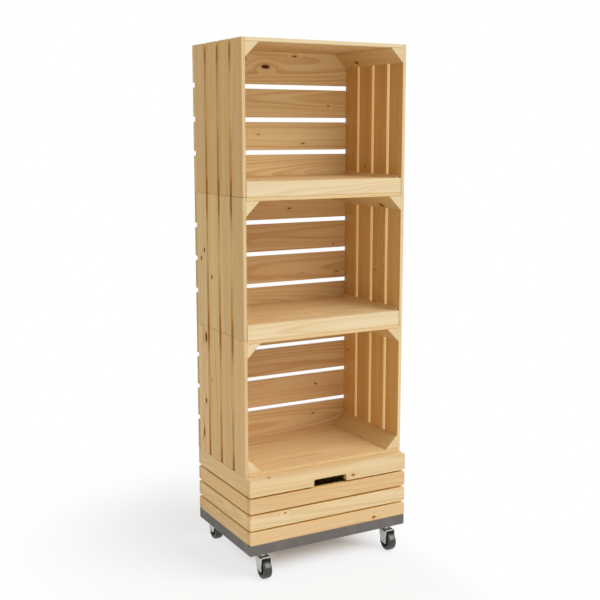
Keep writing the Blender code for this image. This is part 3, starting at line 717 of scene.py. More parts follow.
def make_sawn_pine():
    """Sawn pine in a board's own space: year rings round a pith, fibres, knots and end grain, with painted
    light and shade on chosen faces and painted shade in the gaps.
    """
    graph, given, out = new_group(
        "sawn_pine",
        [
            ("Place", "Vector"), ("Facing", "Vector"), ("Early", "Color"), ("Late", "Color"),
            ("Amber", "Color"), ("Knot", "Color"), ("Ring Width", "Float"), ("Contrast", "Float"),
        ],
        [("Colour", "Color"), ("Roughness", "Float"), ("Height", "Float")],
    )
    place = given["Place"]
    x, y, z = graph.split(place)
    seed = graph.trait("grain_seed")
    radius, warm = pith_distance(graph, x, y, z, seed)
    fibre = graph.noise(graph.vector("MULTIPLY", place, FIBRE_SCALE), detail=3.0)[0]
    streak_place = graph.vector("MULTIPLY", place, STREAK_SCALE)
    streak_place = graph.vector("ADD", streak_place, graph.join(seed, 0.0, seed))
    streak = graph.noise(streak_place, detail=2.5)[0]
    heart, resin, swell = knot_masks(graph, x, y, streak)
    late = late_wood(graph, given, radius, swell, seed)

    streaks = graph.math("MULTIPLY", graph.signed(streak, STREAK_DARK), given["Contrast"])
    facing_x, facing_y, _ = graph.split(graph.vector("ABSOLUTE", given["Facing"]))
    end, rim = graph.step(facing_x, *TURNED), graph.step(facing_y, *TURNED)
    inner = graph.step(graph.split(given["Facing"])[2], *TURNED)
    shown = graph.step(rim, 0.0, 1.0, 1.0, RIM_FIGURE)
    figure = graph.math("MULTIPLY", graph.math("ADD", late, streaks), shown)
    dark = graph.math("ADD", figure, graph.signed(fibre, FIBRE_DARK))
    wood = graph.mix(graph.step(dark, *DARK_RANGE), given["Early"], given["Late"])
    wood = graph.mix(graph.step(warm, *WARM_RANGE, 0.0, WARM_SHARE), wood, WARM_TINT, "MULTIPLY")
    amber = graph.math("MAXIMUM", graph.math("MULTIPLY", resin, RESIN_SHARE), graph.trait("grain_amber"))
    wood = graph.mix(amber, wood, given["Amber"])
    wood = graph.mix(graph.math("MULTIPLY", heart, HEART_SHARE), wood, given["Knot"])
    # Tints of the +Z face, the ends and the rims: besides the darker end grain, they carry painted light and
    # painted shade given per board
    for mask, label in ((inner, "inner_face_shade"), (end, "end_grain_and_light"), (rim, "rim_light_and_shade")):
        wood = graph.mix(mask, wood, graph.vector("MULTIPLY", wood, graph.trait(label, "Vector")))

    # Painted shade in the gaps: on boards that carry it, the rims darken near their ends, where the posts
    # close the gaps, and in their lower half
    half = graph.trait("grain_half", "Vector")
    from_end = graph.math("SUBTRACT", graph.split(half)[0], graph.math("ABSOLUTE", x))
    low_gap_shade = graph.mix(graph.step(x, *LOW_RANGE), WHITE, LOW_GAP_SHADE)
    dust_and_shade = graph.mix(graph.step(from_end, *END_RANGE), low_gap_shade, END_GAP_SHADE)
    wood = graph.mix(graph.math("MULTIPLY", rim, graph.trait("grain_nook")), wood, dust_and_shade, "MULTIPLY")
    rub = graph.group("edge_rub", {"Place": place, "Half Size": half, "Width": RUB_WIDTH})["Mask"]
    wood = graph.mix(graph.math("MULTIPLY", rub, RUB_SHARE), wood, RUB_TINT, "MULTIPLY")
    # The board's own tint, which for the backs, the posts and the base's ends also carries painted light and
    # shade
    wood = graph.vector("MULTIPLY", wood, graph.trait("grain_tint", "Vector"))

    rough = graph.fold("ADD", [
        graph.signed(fibre, FIBRE_ROUGH), graph.signed(streak, STREAK_ROUGH),
        graph.math("MULTIPLY", end, END_ROUGH), graph.math("MULTIPLY", heart, HEART_ROUGH),
    ])
    rough = graph.math("SUBTRACT", rough, graph.math("MULTIPLY", late, LATE_SMOOTH))
    rough = graph.math("ADD", rough, PINE_ROUGH)
    height = graph.fold("ADD", [
        graph.math("MULTIPLY", fibre, FIBRE_RELIEF), graph.math("MULTIPLY", late, LATE_RELIEF), heart,
    ])
    graph.tree.links.new(wood, out.inputs["Colour"])
    graph.tree.links.new(rough, out.inputs["Roughness"])
    graph.tree.links.new(height, out.inputs["Height"])


GROUP_MAKERS = (make_edge_rub, make_scuffs, make_sawn_pine)


def clear_graph(owner):
    """The emptied node tree of a material or a world, ready for its nodes."""
    owner.use_nodes = True
    owner.node_tree.nodes.clear()
    return Graph(owner.node_tree)


def new_material(name):
    """An empty node material: its graph, its place and facing in the piece's own space, and its shader."""
    material = bpy.data.materials.new(name)
    graph = clear_graph(material)
    space = graph.node("ShaderNodeTexCoord").outputs
    shader = graph.node("ShaderNodeBsdfPrincipled")
    graph.node("ShaderNodeOutputMaterial", {"Surface": shader.outputs[0]})
    return material, graph, space["Object"], space["Normal"], shader


def dress(graph, shader, base, rough, height, depth):
    """Link a surface's colour, roughness and fine relief, whose full height is depth in metres."""
    bump = graph.node("ShaderNodeBump", {"Strength": 1.0, "Distance": depth, "Height": height})
    graph.tree.links.new(base, shader.inputs["Base Color"])
    graph.tree.links.new(rough, shader.inputs["Roughness"])
    graph.tree.links.new(bump.outputs[0], shader.inputs["Normal"])


def rgba(value):
    """A colour setting with its alpha."""
    return (*value, 1.0)


# Depths of the finishes' fine relief, in metres
PINE_DEPTH, PAINT_DEPTH, ZINC_DEPTH, STEEL_DEPTH = 0.00018, 0.00012, 0.00003, 0.00002

# How strongly the pine, the paint and the rubber mirror, where 0.5 is usual
PINE_SPECULAR, PAINT_SPECULAR, RUBBER_SPECULAR = 0.25, 0.4, 0.7


def pine_finish(name, settings):
    """Bare sawn pine in the colours of one slot."""
    wood = settings.wood
    kind = name.removeprefix("pine_")
    calm = kind in ("apron", "base")
    material, graph, place, facing, shader = new_material(name)
    inputs = {
        "Place": place,
        "Facing": facing,
        "Early": rgba(getattr(wood, f"{kind}_early")),
        "Late": rgba(getattr(wood, f"{kind}_late")),
        "Amber": rgba(wood.amber),
        "Knot": rgba(wood.pale_knot if calm else wood.knot),
        "Ring Width": wood.ring_width,
        "Contrast": wood.calm if calm else wood.contrast,
    }
    pine = graph.group("sawn_pine", inputs)
    dress(graph, shader, pine["Colour"], pine["Roughness"], pine["Height"], PINE_DEPTH)
    shader.inputs["Specular IOR Level"].default_value = PINE_SPECULAR
    return material


# The dolly's paint: its scuffs and rubbed edges, its clouds, the fine peel of the roller, the grain of the
# wood under it, and how rough it is
PAINT_SCUFFS = {"Scale": 26.0, "Amount": 0.55}
PAINT_RUB, PAINT_WORN_SHARE = 0.0016, 0.6
CLOUD_NOISE, CLOUD_RANGE, CLOUD_SHARE, CLOUD_TONE = (3.0, 9.0), (0.35, 0.7), 0.35, (0.128, 0.124, 0.118, 1.0)
PEEL_NOISE, PEEL_ROUGH, PEEL_RELIEF = (2.0, 620.0), (0.12, 0.5), 0.5
UNDER_GRAIN = (7.0, 160.0, 160.0)
PAINT_ROUGH, PAINT_SCUFF_ROUGH = 0.42, 0.22


def dolly_finish(name, settings):
    """Rolled-on satin paint over wood, scuffed along its edges."""
    metal = settings.metal
    material, graph, place, facing, shader = new_material(name)
    scuffs = graph.group("scuffs", {"Place": place, **PAINT_SCUFFS})["Mask"]
    half = graph.trait("grain_half", "Vector")
    rub = graph.group("edge_rub", {"Place": place, "Half Size": half, "Width": PAINT_RUB})["Mask"]
    cloud = graph.noise(place, *CLOUD_NOISE)[0]
    peel = graph.noise(place, *PEEL_NOISE)[0]
    grain = graph.noise(graph.vector("MULTIPLY", place, UNDER_GRAIN), detail=3.0)[0]
    paint = graph.mix(graph.step(cloud, *CLOUD_RANGE, 0.0, CLOUD_SHARE), rgba(metal.paint), CLOUD_TONE)
    worn = graph.math("MULTIPLY", graph.math("MAXIMUM", scuffs, rub), PAINT_WORN_SHARE)
    paint = graph.mix(worn, paint, rgba(metal.paint_worn))
    # Painted light: the board's ends are lifted to look as bright as its front
    at_end = graph.step(graph.math("ABSOLUTE", graph.split(facing)[0]), *TURNED)
    paint = graph.mix(at_end, paint, graph.vector("MULTIPLY", paint, graph.trait("end_grain_and_light", "Vector")))
    rough = graph.fold("ADD", [
        graph.math("MULTIPLY", scuffs, PAINT_SCUFF_ROUGH),
        graph.math("MULTIPLY_ADD", peel, *PEEL_ROUGH), PAINT_ROUGH,
    ])
    height = graph.math("ADD", graph.math("MULTIPLY", peel, PEEL_RELIEF), grain)
    dress(graph, shader, paint, rough, height, PAINT_DEPTH)
    shader.inputs["Specular IOR Level"].default_value = PAINT_SPECULAR
    return material


# Zinc plating: its spangle, the lines of drawing, its scuffs, patches of grime, which on the plates and
# screws paint shade, and how rough it is
SPANGLE_SCALE, SPANGLE_SHARE, SPANGLE_TONE = 420.0, 0.30, (0.44, 0.45, 0.45, 1.0)
DRAWN_SCALE = (900.0, 60.0, 900.0)
ZINC_SCUFFS = {"Scale": 160.0, "Amount": 0.6}
ZINC_SCUFF_SHARE, ZINC_SCUFF_TONE = 0.45, (0.36, 0.35, 0.33, 1.0)
GRIME_SHADE_NOISE, GRIME_SHADE_VARIES, GRIME_SHADE_DULLS = (3.0, 120.0), 0.2, 0.8
ZINC_ROUGH, FLAKE_ROUGH, DRAWN_ROUGH, ZINC_SCUFF_ROUGH, FLAKE_RELIEF = 0.26, 0.10, 0.10, 0.22, 0.3


def zinc_finish(name, settings, grime_and_shade=0.0):
    """Zinc-plated sheet steel with faint spangle and drawing lines, under a share of grime, which on the
    plates and screws is painted shade.
    """
    material, graph, place, _, shader = new_material(name)
    cells = {"Vector": place, "Scale": SPANGLE_SCALE}
    flake = graph.split(graph.node("ShaderNodeTexVoronoi", cells).outputs["Color"])[0]
    drawn = graph.noise(graph.vector("MULTIPLY", place, DRAWN_SCALE), detail=2.0)[0]
    scuffs = graph.group("scuffs", {"Place": place, **ZINC_SCUFFS})["Mask"]
    dull = graph.mix(graph.math("MULTIPLY", flake, SPANGLE_SHARE), rgba(settings.metal.zinc), SPANGLE_TONE)
    dull = graph.mix(graph.math("MULTIPLY", scuffs, ZINC_SCUFF_SHARE), dull, ZINC_SCUFF_TONE)
    if grime_and_shade:
        patches = graph.math("MULTIPLY", graph.noise(place, *GRIME_SHADE_NOISE)[0], GRIME_SHADE_VARIES)
        dull = graph.mix(graph.math("ADD", patches, grime_and_shade), dull, rgba(settings.metal.grime_and_shade))
    flaky = graph.math("MULTIPLY", flake, FLAKE_ROUGH)
    worn = graph.math("MULTIPLY", scuffs, ZINC_SCUFF_ROUGH)
    lined = graph.math("ADD", graph.math("MULTIPLY", drawn, DRAWN_ROUGH), ZINC_ROUGH)
    rough = graph.fold("ADD", [flaky, worn, lined])
    height = graph.math("ADD", drawn, graph.math("MULTIPLY", flake, FLAKE_RELIEF))
    dress(graph, shader, dull, rough, height, ZINC_DEPTH)
    shader.inputs["Metallic"].default_value = 1.0 - GRIME_SHADE_DULLS * grime_and_shade
    return material


def shaded_zinc_finish(name, settings):
    """The same sheet steel darkened with painted shade, for the plates and screws in the shade under the
    dolly.
    """
    return zinc_finish(name, settings, grime_and_shade=0.8)


def dull_zinc_finish(name, settings):
    """The same plating gone dull, on the nails' heads."""
    return zinc_finish(name, settings, grime_and_shade=0.55)


# Turned steel: the scale of its rings, its scuffs, and how rough it is
TURNED_SCALE = 3000.0
STEEL_SCUFFS = {"Scale": 240.0, "Amount": 0.5}
STEEL_SCUFF_SHARE, STEEL_SCUFF_TONE = 0.5, (0.40, 0.39, 0.37, 1.0)
STEEL_ROUGH, TURNED_ROUGH, STEEL_SCUFF_ROUGH = 0.18, 0.14, 0.2


def steel_finish(name, settings):
    """Bright turned steel with fine rings round its own axis."""
    material, graph, place, _, shader = new_material(name)
    x, y, z = graph.split(place)
    out, up = (graph.math("MULTIPLY", value, TURNED_SCALE) for value in (graph.distance(x, y), z))
    rings = graph.noise(graph.join(out, up, 0.0), detail=2.0)[0]
    scuffs = graph.group("scuffs", {"Place": place, **STEEL_SCUFFS})["Mask"]
    worn = graph.math("MULTIPLY", scuffs, STEEL_SCUFF_SHARE)
    bright = graph.mix(worn, rgba(settings.metal.steel), STEEL_SCUFF_TONE)
    rough = graph.fold("ADD", [
        graph.math("MULTIPLY", rings, TURNED_ROUGH),
        graph.math("MULTIPLY", scuffs, STEEL_SCUFF_ROUGH), STEEL_ROUGH,
    ])
    dress(graph, shader, bright, rough, rings, STEEL_DEPTH)
    shader.inputs["Metallic"].default_value = 1.0
    return material


# Dusty plastic and rubber: their mottling and how much darker it is, the dust's scale, and what skin and
# dust add to the roughness
MOTTLE_NOISE, MOTTLE_RANGE, MOTTLE_SHARE, MOTTLE_DARK = (3.0, 110.0), (0.3, 0.7), 0.4, 0.72
DUST_SCALE = 130.0
SKIN_ROUGH, DUST_ROUGH = 0.14, 0.3


def dusty_finish(name, settings, base, roughness, dust_share, speck, depth):
    """Dark moulded plastic or rubber with a fine skin of that depth and a little floor dust."""
    material, graph, place, _, shader = new_material(name)
    skin = graph.noise(place, detail=2.0, scale=speck)[0]
    mottle = graph.noise(place, *MOTTLE_NOISE)[0]
    dust_and_shade = graph.group("scuffs", {"Place": place, "Scale": DUST_SCALE, "Amount": dust_share})["Mask"]
    darker = rgba([MOTTLE_DARK * value for value in base])
    dark = graph.mix(graph.step(mottle, *MOTTLE_RANGE, 0.0, MOTTLE_SHARE), rgba(base), darker)
    dark = graph.mix(dust_and_shade, dark, rgba(settings.metal.dust_and_shade))
    rough = graph.fold("ADD", [
        graph.math("MULTIPLY", skin, SKIN_ROUGH), graph.math("MULTIPLY", dust_and_shade, DUST_ROUGH), roughness,
    ])
    dress(graph, shader, dark, rough, skin, depth)
    return material


def plastic_finish(name, settings):
    """The hubs' moulded plastic."""
    return dusty_finish(
        name, settings, settings.metal.plastic, roughness=0.34, dust_share=0.22, speck=1800.0, depth=0.00006
    )


def rubber_finish(name, settings):
    """The tyres' rubber, polished by use."""
    material = dusty_finish(
        name, settings, settings.metal.rubber, roughness=0.12, dust_share=0.20, speck=1300.0, depth=0.000015
    )
    shader = material.node_tree.nodes["Principled BSDF"]
    shader.inputs["Specular IOR Level"].default_value = RUBBER_SPECULAR
    return material


FINISHES = {
    "pine_side": pine_finish,
    "pine_back": pine_finish,
    "pine_board": pine_finish,
    "pine_apron": pine_finish,
    "pine_base": pine_finish,
    "dolly_paint": dolly_finish,
    "zinc": zinc_finish,
    "grimy_zinc": shaded_zinc_finish,
    "dull_zinc": dull_zinc_finish,
    "axle_steel": steel_finish,
    "hub_plastic": plastic_finish,
    "rubber": rubber_finish,
}


def finish_of(finish):
    """The material of one finish, made when it is first asked for."""
    if "sawn_pine" not in bpy.data.node_groups:
        for make_group in GROUP_MAKERS:
            make_group()
    name = f"{finish}_finish"
    if name not in bpy.data.materials:
        material = FINISHES[finish](finish, bpy.context.scene.crate_stand)
        material.name = name
    return bpy.data.materials[name]


# Outlines and meshes


def fillet(corners, closed=True, steps=ROUND_STEPS):
    """An outline whose corners, given as (x, y, radius), are rounded."""
    points = []
    count = len(corners)
    for index, (x, y, radius) in enumerate(corners):
        here = Vector((x, y))
        if radius <= 0.0 or (not closed and index in (0, count - 1)):
            points.append(here)
            continue
        before = Vector(corners[index - 1][:2]) - here
        after = Vector(corners[(index + 1) % count][:2]) - here
        cut = radius / math.tan(before.angle(after) / 2)
        start, end = here + before.normalized() * cut, here + after.normalized() * cut
        for step in range(steps + 1):
            t = step / steps
            points.append(start * (1 - t) ** 2 + here * (2 * t * (1 - t)) + end * t ** 2)
    return points


def rectangle(half_x, half_y, corner):
    """A rectangle about its own middle with round corners."""
    return fillet([(x * half_x, y * half_y, corner) for x, y in ((-1, -1), (1, -1), (1, 1), (-1, 1))])


def keep_mesh(bm, name):
    """A smooth mesh of what has been built, which is then freed."""
    mesh = bpy.data.meshes.new(name)
    bm.to_mesh(mesh)
    bm.free()
    mesh.shade_smooth()
    return mesh


def mesh_from(bm, name):
    """A smooth mesh with all its faces turned outwards."""
    bmesh.ops.recalc_face_normals(bm, faces=bm.faces)
    return keep_mesh(bm, name)


def slab_mesh(name, outline, thickness, turn=None):
    """A flat outline with the same thickness to both sides of its plane."""
    bm = bmesh.new()
    lower = [bm.verts.new((x, y, -thickness / 2)) for x, y in outline]
    upper = [bm.verts.new((x, y, thickness / 2)) for x, y in outline]
    bm.faces.new(lower)
    bm.faces.new(upper)
    for index in range(len(outline)):
        following = (index + 1) % len(outline)
        bm.faces.new((lower[index], lower[following], upper[following], upper[index]))
    if turn:
        bm.transform(turn)
    return mesh_from(bm, name)


def turned_mesh(name, profile, steps=WHEEL_STEPS, ring=False):
    """A shape turned about its own Z from (radius, height) points; a ring's profile closes on itself."""
    bm = bmesh.new()
    verts = [bm.verts.new((radius, 0.0, height)) for radius, height in profile]
    pairs = list(zip(verts, verts[1:] + verts[:1])) if ring else list(zip(verts, verts[1:]))
    edges = [bm.edges.new(pair) for pair in pairs]
    bmesh.ops.spin(
        bm, geom=verts + edges, cent=(0, 0, 0), axis=(0, 0, 1), angle=2 * math.pi, steps=steps, use_merge=True
    )
    bmesh.ops.remove_doubles(bm, verts=bm.verts, dist=MERGE_DISTANCE)
    return mesh_from(bm, name)


def joined_mesh(name, mesh, places):
    """Copies of a mesh at several places, as one mesh."""
    bm = bmesh.new()
    for place in places:
        copy = mesh.copy()
        copy.transform(place)
        bm.from_mesh(copy)
        bpy.data.meshes.remove(copy)
    return mesh_from(bm, name)


def add_piece(name, mesh, place, slot, body="stand", nodes=(), finish=None):
    """Put a finished mesh in the stand: it rides on a body and stands for the CAD nodes named."""
    old = bpy.data.objects.get(name)
    if old:
        bpy.data.objects.remove(old)
    piece = bpy.data.objects.new(name, mesh)
    mesh.materials.append(finish_of(finish or slot))
    piece.matrix_world = place
    bpy.context.scene.collection.objects.link(piece)
    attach(piece, body)
    if nodes:
        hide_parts(*nodes)
    return piece


def soften(piece, width, segments=3, ends=None):
    """Round a piece's sharp edges; ends gives the share kept at its own X ends, on its -Z and its +Z face."""
    bevel = piece.modifiers.new("Rounded edges", "BEVEL")
    bevel.width = width
    bevel.segments = segments
    bevel.limit_method = "WEIGHT" if ends else "ANGLE"
    bevel.angle_limit = SHARP_ANGLE
    bevel.harden_normals = True
    if ends:
        weigh_edges(piece.data, ends)


def weigh_edges(mesh, ends):
    """Write the share of the rounding that each sharp edge gets."""
    weights = mesh.attributes.new("bevel_weight_edge", "FLOAT", "EDGE")
    bm = bmesh.new()
    bm.from_mesh(mesh)
    reach = max(vert.co.x for vert in bm.verts) - TINY
    for edge in bm.edges:
        if edge.calc_face_angle(0.0) > SHARP_ANGLE:
            at_end = all(abs(vert.co.x) > reach for vert in edge.verts)
            weights.data[edge.index].value = ends[edge.verts[0].co.z > 0] if at_end else 1.0
    bm.free()


def give_grain(
    piece, half, strip=WHOLE, amber=0.0, tint=PLAIN, inner=PLAIN, end=BOARD_END, rim=PLAIN, nook=0.0,
    straight=False,
):
    """Give a board its own grain, as custom properties that its finish reads.

    The tints are for all its faces, its +Z face, its ends and its rims, which are its narrow long faces, and
    many of them paint light and shade. A share from 0 to 1 paints shade onto the rims near the ends and in
    their lower half.
    """
    luck = random.Random(piece.name)
    piece["grain_seed"] = luck.uniform(*SEED_RANGE)
    tone = luck.uniform(*TONE_RANGE)
    board_tone = BOARD_TONES.get(piece.name, PLAIN)
    piece["grain_tint"] = [tone * value * own for value, own in zip(tint, board_tone)]
    piece["grain_amber"] = amber
    piece["grain_strip"] = strip
    piece["grain_half"] = list(half)
    for label, values in (("inner_face_shade", inner), ("end_grain_and_light", end), ("rim_light_and_shade", rim)):
        piece[label] = [float(value) for value in values]
    piece["grain_nook"] = float(nook)
    piece["grain_offset"] = luck.choice((-1, 1)) * luck.uniform(*PITH_BESIDE) if straight else 0.0
    knots = list(KNOTS.get(piece.name, ()))
    chosen = piece.name in KNOTS or piece.name in CLEAR_BOARDS
    while len(knots) < len(KNOT_LABELS):
        size = luck.choice(CHANCE_KNOTS)
        along = luck.uniform(-CHANCE_ALONG, CHANCE_ALONG) * half[0]
        across = luck.uniform(-CHANCE_ACROSS, CHANCE_ACROSS) * half[1]
        knots.append((along, across, 0.0 if chosen else size, KNOT_STRETCH))
    for label, knot in zip(KNOT_LABELS, knots):
        piece[label] = list(knot[:3])
    piece["knot_stretch"] = [knot[3] for knot in knots]


def add_board(name, low, high, lie, slot, nodes, corner, edge, ends=None, **grain):
    """A straight board between two corners of its box, with a rounded outline and soft edges."""
    size = lie.transposed() @ (high - low)
    half = [abs(value) / 2 for value in size]
    mesh = slab_mesh(name, rectangle(half[0], half[1], corner), 2 * half[2])
    place = Matrix.Translation((low + high) / 2) @ lie.to_4x4()
    piece = add_piece(name, mesh, place, slot, nodes=nodes)
    soften(piece, edge, ends=ends)
    give_grain(piece, half, **grain)
    return piece


def add_node_board(name, node, lie, slot, corner, edge, **options):
    """A straight board in the place of one CAD node."""
    low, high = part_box(node)
    return add_board(name, low, high, lie, slot, [node], corner, edge, **options)


def rows_between(low, high, count, width):
    """The (low, high) of each member of a row spread evenly between two ends."""
    pitch = (high - low - width) / (count - 1)
    return [(low + index * pitch, low + index * pitch + width) for index in range(count)]


# Operators for the crates


class SideSlats(Operator):
    """Cover the crates' sides with separate upright slats"""

    bl_idname = "crate_stand.side_slats"
    bl_label = "Side slats"

    def execute(self, context):
        sizes = context.scene.crate_stand.crate
        for crate in CRATES:
            for side, sign in SIDES:
                self.add_side(crate, side, sign, sizes)
        return {"FINISHED"}

    def add_side(self, crate, side, sign, sizes):
        """The slats of one side, sawn to slightly different lengths."""
        node = f"{crate}_{side}_side"
        low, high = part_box(node)
        outer = high.x if sign > 0 else low.x
        xs = sorted((outer, outer - sign * sizes.slat_thickness))
        tint, lit_rims = SIDE_TINTS[crate], LIT_RIMS[side]
        rows = rows_between(low.y, high.y, sizes.slat_count, sizes.slat_width)
        for index, (start, end) in enumerate(rows):
            name = f"{crate}_{side}_slat_{index + 1}"
            # Slats in the lit list get painted light on their rims. The slats behind them, in the gaps of the
            # left side, get painted gap shade. The right side's inner faces get painted shade
            shaded = index >= len(lit_rims)
            rim = GAP_SHADE_RIM if shaded else [pale / own for pale, own in zip(lit_rims[index], tint)]
            luck = random.Random(name + " trim")
            trims = [luck.uniform(0.0, sizes.trim) for _ in range(2)]
            lowest = Vector((xs[0], start, low.z + trims[0]))
            highest = Vector((xs[1], end, high.z - trims[1]))
            add_board(
                name, lowest, highest, UPRIGHT, "pine_side", [node], sizes.corner, sizes.edge, straight=True,
                tint=tint, inner=RIGHT_INNER_SHADE if sign > 0 else PLAIN, rim=rim, nook=1.0 if shaded else 0.0,
            )


class CornerPosts(Operator):
    """Set a triangular post along each long inner corner of the crates"""

    bl_idname = "crate_stand.corner_posts"
    bl_label = "Corner posts"

    def execute(self, context):
        sizes = context.scene.crate_stand.crate
        for crate in CRATES:
            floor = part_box(f"{crate}_floor_board")
            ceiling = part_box(f"{crate}_top_board")
            levels = (
                ("lower", floor[1].z + SEAM, 1, floor[0].y),
                ("upper", ceiling[0].z - SEAM, -1, ceiling[0].y),
            )
            for side, sign in SIDES:
                node = f"{crate}_{side}_side"
                low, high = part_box(node)
                inner = sign * (max(abs(low.x), abs(high.x)) - sizes.slat_thickness)
                for level, corner_z, up, front in levels:
                    name = f"{crate}_{side}_{level}_post"
                    self.add_post(name, node, sizes, inner, corner_z, sign, up, front, high.y)
        return {"FINISHED"}

    def add_post(self, name, node, sizes, inner, corner_z, sign, up, front, back):
        """One post whose right angle sits at (inner, corner_z), from front to back."""
        leg, third = sizes.post_leg, sizes.post_leg / 3
        mid_x, mid_z = inner - sign * third, corner_z + up * third
        corners = ((inner, corner_z), (inner - sign * leg, corner_z), (inner, corner_z + up * leg))
        section = fillet([(x - mid_x, mid_z - z, POST_CORNER) for x, z in corners], steps=2)
        mesh = slab_mesh(name, section, back - front, SECTION_ALONG)
        place = Matrix.Translation((mid_x, (front + back) / 2, mid_z)) @ RAIL.to_4x4()
        post = add_piece(name, mesh, place, "pine_apron", nodes=[node])
        soften(post, sizes.edge * POST_EDGE)
        # The posts carry painted shade, and their sawn ends are lifted back to pale wood
        give_grain(post, ((back - front) / 2, 2 * third, 2 * third), tint=POST_SHADE, end=POST_END_UNSHADED)


class BackSlats(Operator):
    """Close the crates' backs with level slats"""

    bl_idname = "crate_stand.back_slats"
    bl_label = "Back slats"

    def execute(self, context):
        sizes = context.scene.crate_stand.crate
        for crate in CRATES:
            for number in SLAT_NUMBERS:
                # The backs carry painted light in the top crate and painted shade in the middle one, and
                # their sawn ends carry painted shade
                add_node_board(
                    f"{crate}_back_plank_{number}", f"{crate}_back_slat_{number}", LEVEL, "pine_back",
                    sizes.corner, sizes.edge, tint=BACK_LIGHT_AND_SHADE[crate], end=BACK_END_SHADE,
                )
        return {"FINISHED"}


class CrateBoards(Operator):
    """Lay the crates' floors, tops and raised decks, glued up from strips"""

    bl_idname = "crate_stand.crate_boards"
    bl_label = "Crate boards"

    def execute(self, context):
        sizes = context.scene.crate_stand.crate
        for crate in CRATES:
            for kind in ("floor", "top"):
                node = f"{crate}_{kind}_board"
                # The topmost board's rims carry painted light
                rim = TOP_EDGE_LIGHT if node == "top_crate_top_board" else PLAIN
                add_node_board(
                    f"{crate}_{kind}_panel", node, FLAT, "pine_board", PANEL_CORNER, sizes.edge,
                    strip=PANEL_STRIP, rim=rim,
                )
            if f"{crate}_deck" in frame["nodes"]:
                self.add_deck(crate, sizes)
        return {"FINISHED"}

    def add_deck(self, crate, sizes):
        """A raised deck whose slanted ends lie on the lower posts."""
        name, node = f"{crate}_deck_panel", f"{crate}_deck"
        low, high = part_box(node)
        half = (high - low) / 2
        lower_half = half.x - (high.z - low.z)
        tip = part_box(f"{crate}_floor_board")[1].z + SEAM + sizes.post_leg
        if tip < high.z:
            lower_half += high.z - tip
        corners = ((-lower_half, -half.z), (lower_half, -half.z), (half.x, half.z), (-half.x, half.z))
        section = fillet([(x, z, DECK_CORNER) for x, z in corners], steps=2)
        mesh = slab_mesh(name, section, 2 * half.y, SECTION_ACROSS)
        deck = add_piece(name, mesh, Matrix.Translation((low + high) / 2), "pine_board", nodes=[node])
        soften(deck, sizes.edge)
        give_grain(deck, half, strip=DECK_STRIP)


class Aprons(Operator):
    """Set a low apron across the front of the raised decks"""

    bl_idname = "crate_stand.aprons"
    bl_label = "Aprons"

    def execute(self, context):
        sizes = context.scene.crate_stand.crate
        play = Vector((APRON_PLAY, 0.0, 0.0))
        for crate in CRATES:
            node = f"{crate}_apron"
            if node in frame["nodes"]:
                low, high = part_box(node)
                add_board(
                    f"{node}_board", low + play, high - play, LEVEL, "pine_apron", [node],
                    APRON_CORNER, sizes.edge,
                )
        return {"FINISHED"}


# Operators for the base


class BaseSlats(Operator):
    """Clad the base's front and back with level slats, with a finger notch in the front's top one"""

    bl_idname = "crate_stand.base_slats"
    bl_label = "Base slats"

    def execute(self, context):
        sizes = context.scene.crate_stand.base
        for end in ("front", "back"):
            for number, amber in FRONT_AMBERS.items():
                name, node = f"base_{end}_plank_{number}", f"base_{end}_slat_{number}"
                if (end, number) == ("front", SLAT_NUMBERS[-1]):
                    self.add_notched(name, node, sizes, amber)
                else:
                    # The slats' sawn ends carry painted light, and their rims the painted light and shade of
                    # the gaps
                    ends = (CRISP, 1.0) if end == "front" else (1.0, CRISP)
                    add_node_board(
                        name, node, LEVEL, "pine_base", sizes.corner, sizes.edge, ends=ends, amber=amber,
                        end=BASE_END_LIGHT, rim=GAP_RIM_LIGHTING[number],
                    )
        return {"FINISHED"}

    def add_notched(self, name, node, sizes, amber):
        """The slat with the finger notch in its lower edge."""
        low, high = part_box(node)
        half = (high - low) / 2
        hole, top = sizes.hole_width / 2, sizes.hole_height - half.z
        left = [
            (-half.x, -half.z, sizes.corner), (-hole, -half.z, NOTCH_FOOT), (-hole, top, sizes.hole_corner),
        ]
        right = [(-x, z, radius) for x, z, radius in reversed(left)]
        upper = [(half.x, half.z, sizes.corner), (-half.x, half.z, sizes.corner)]
        mesh = slab_mesh(name, fillet(left + right + upper), 2 * half.y)
        place = Matrix.Translation((low + high) / 2) @ LEVEL.to_4x4()
        slat = add_piece(name, mesh, place, "pine_base", nodes=[node])
        soften(slat, sizes.edge, ends=(CRISP, 1.0))
        # Its sawn ends carry painted light
        give_grain(slat, (half.x, half.z, half.y), amber=amber, end=BASE_END_LIGHT)


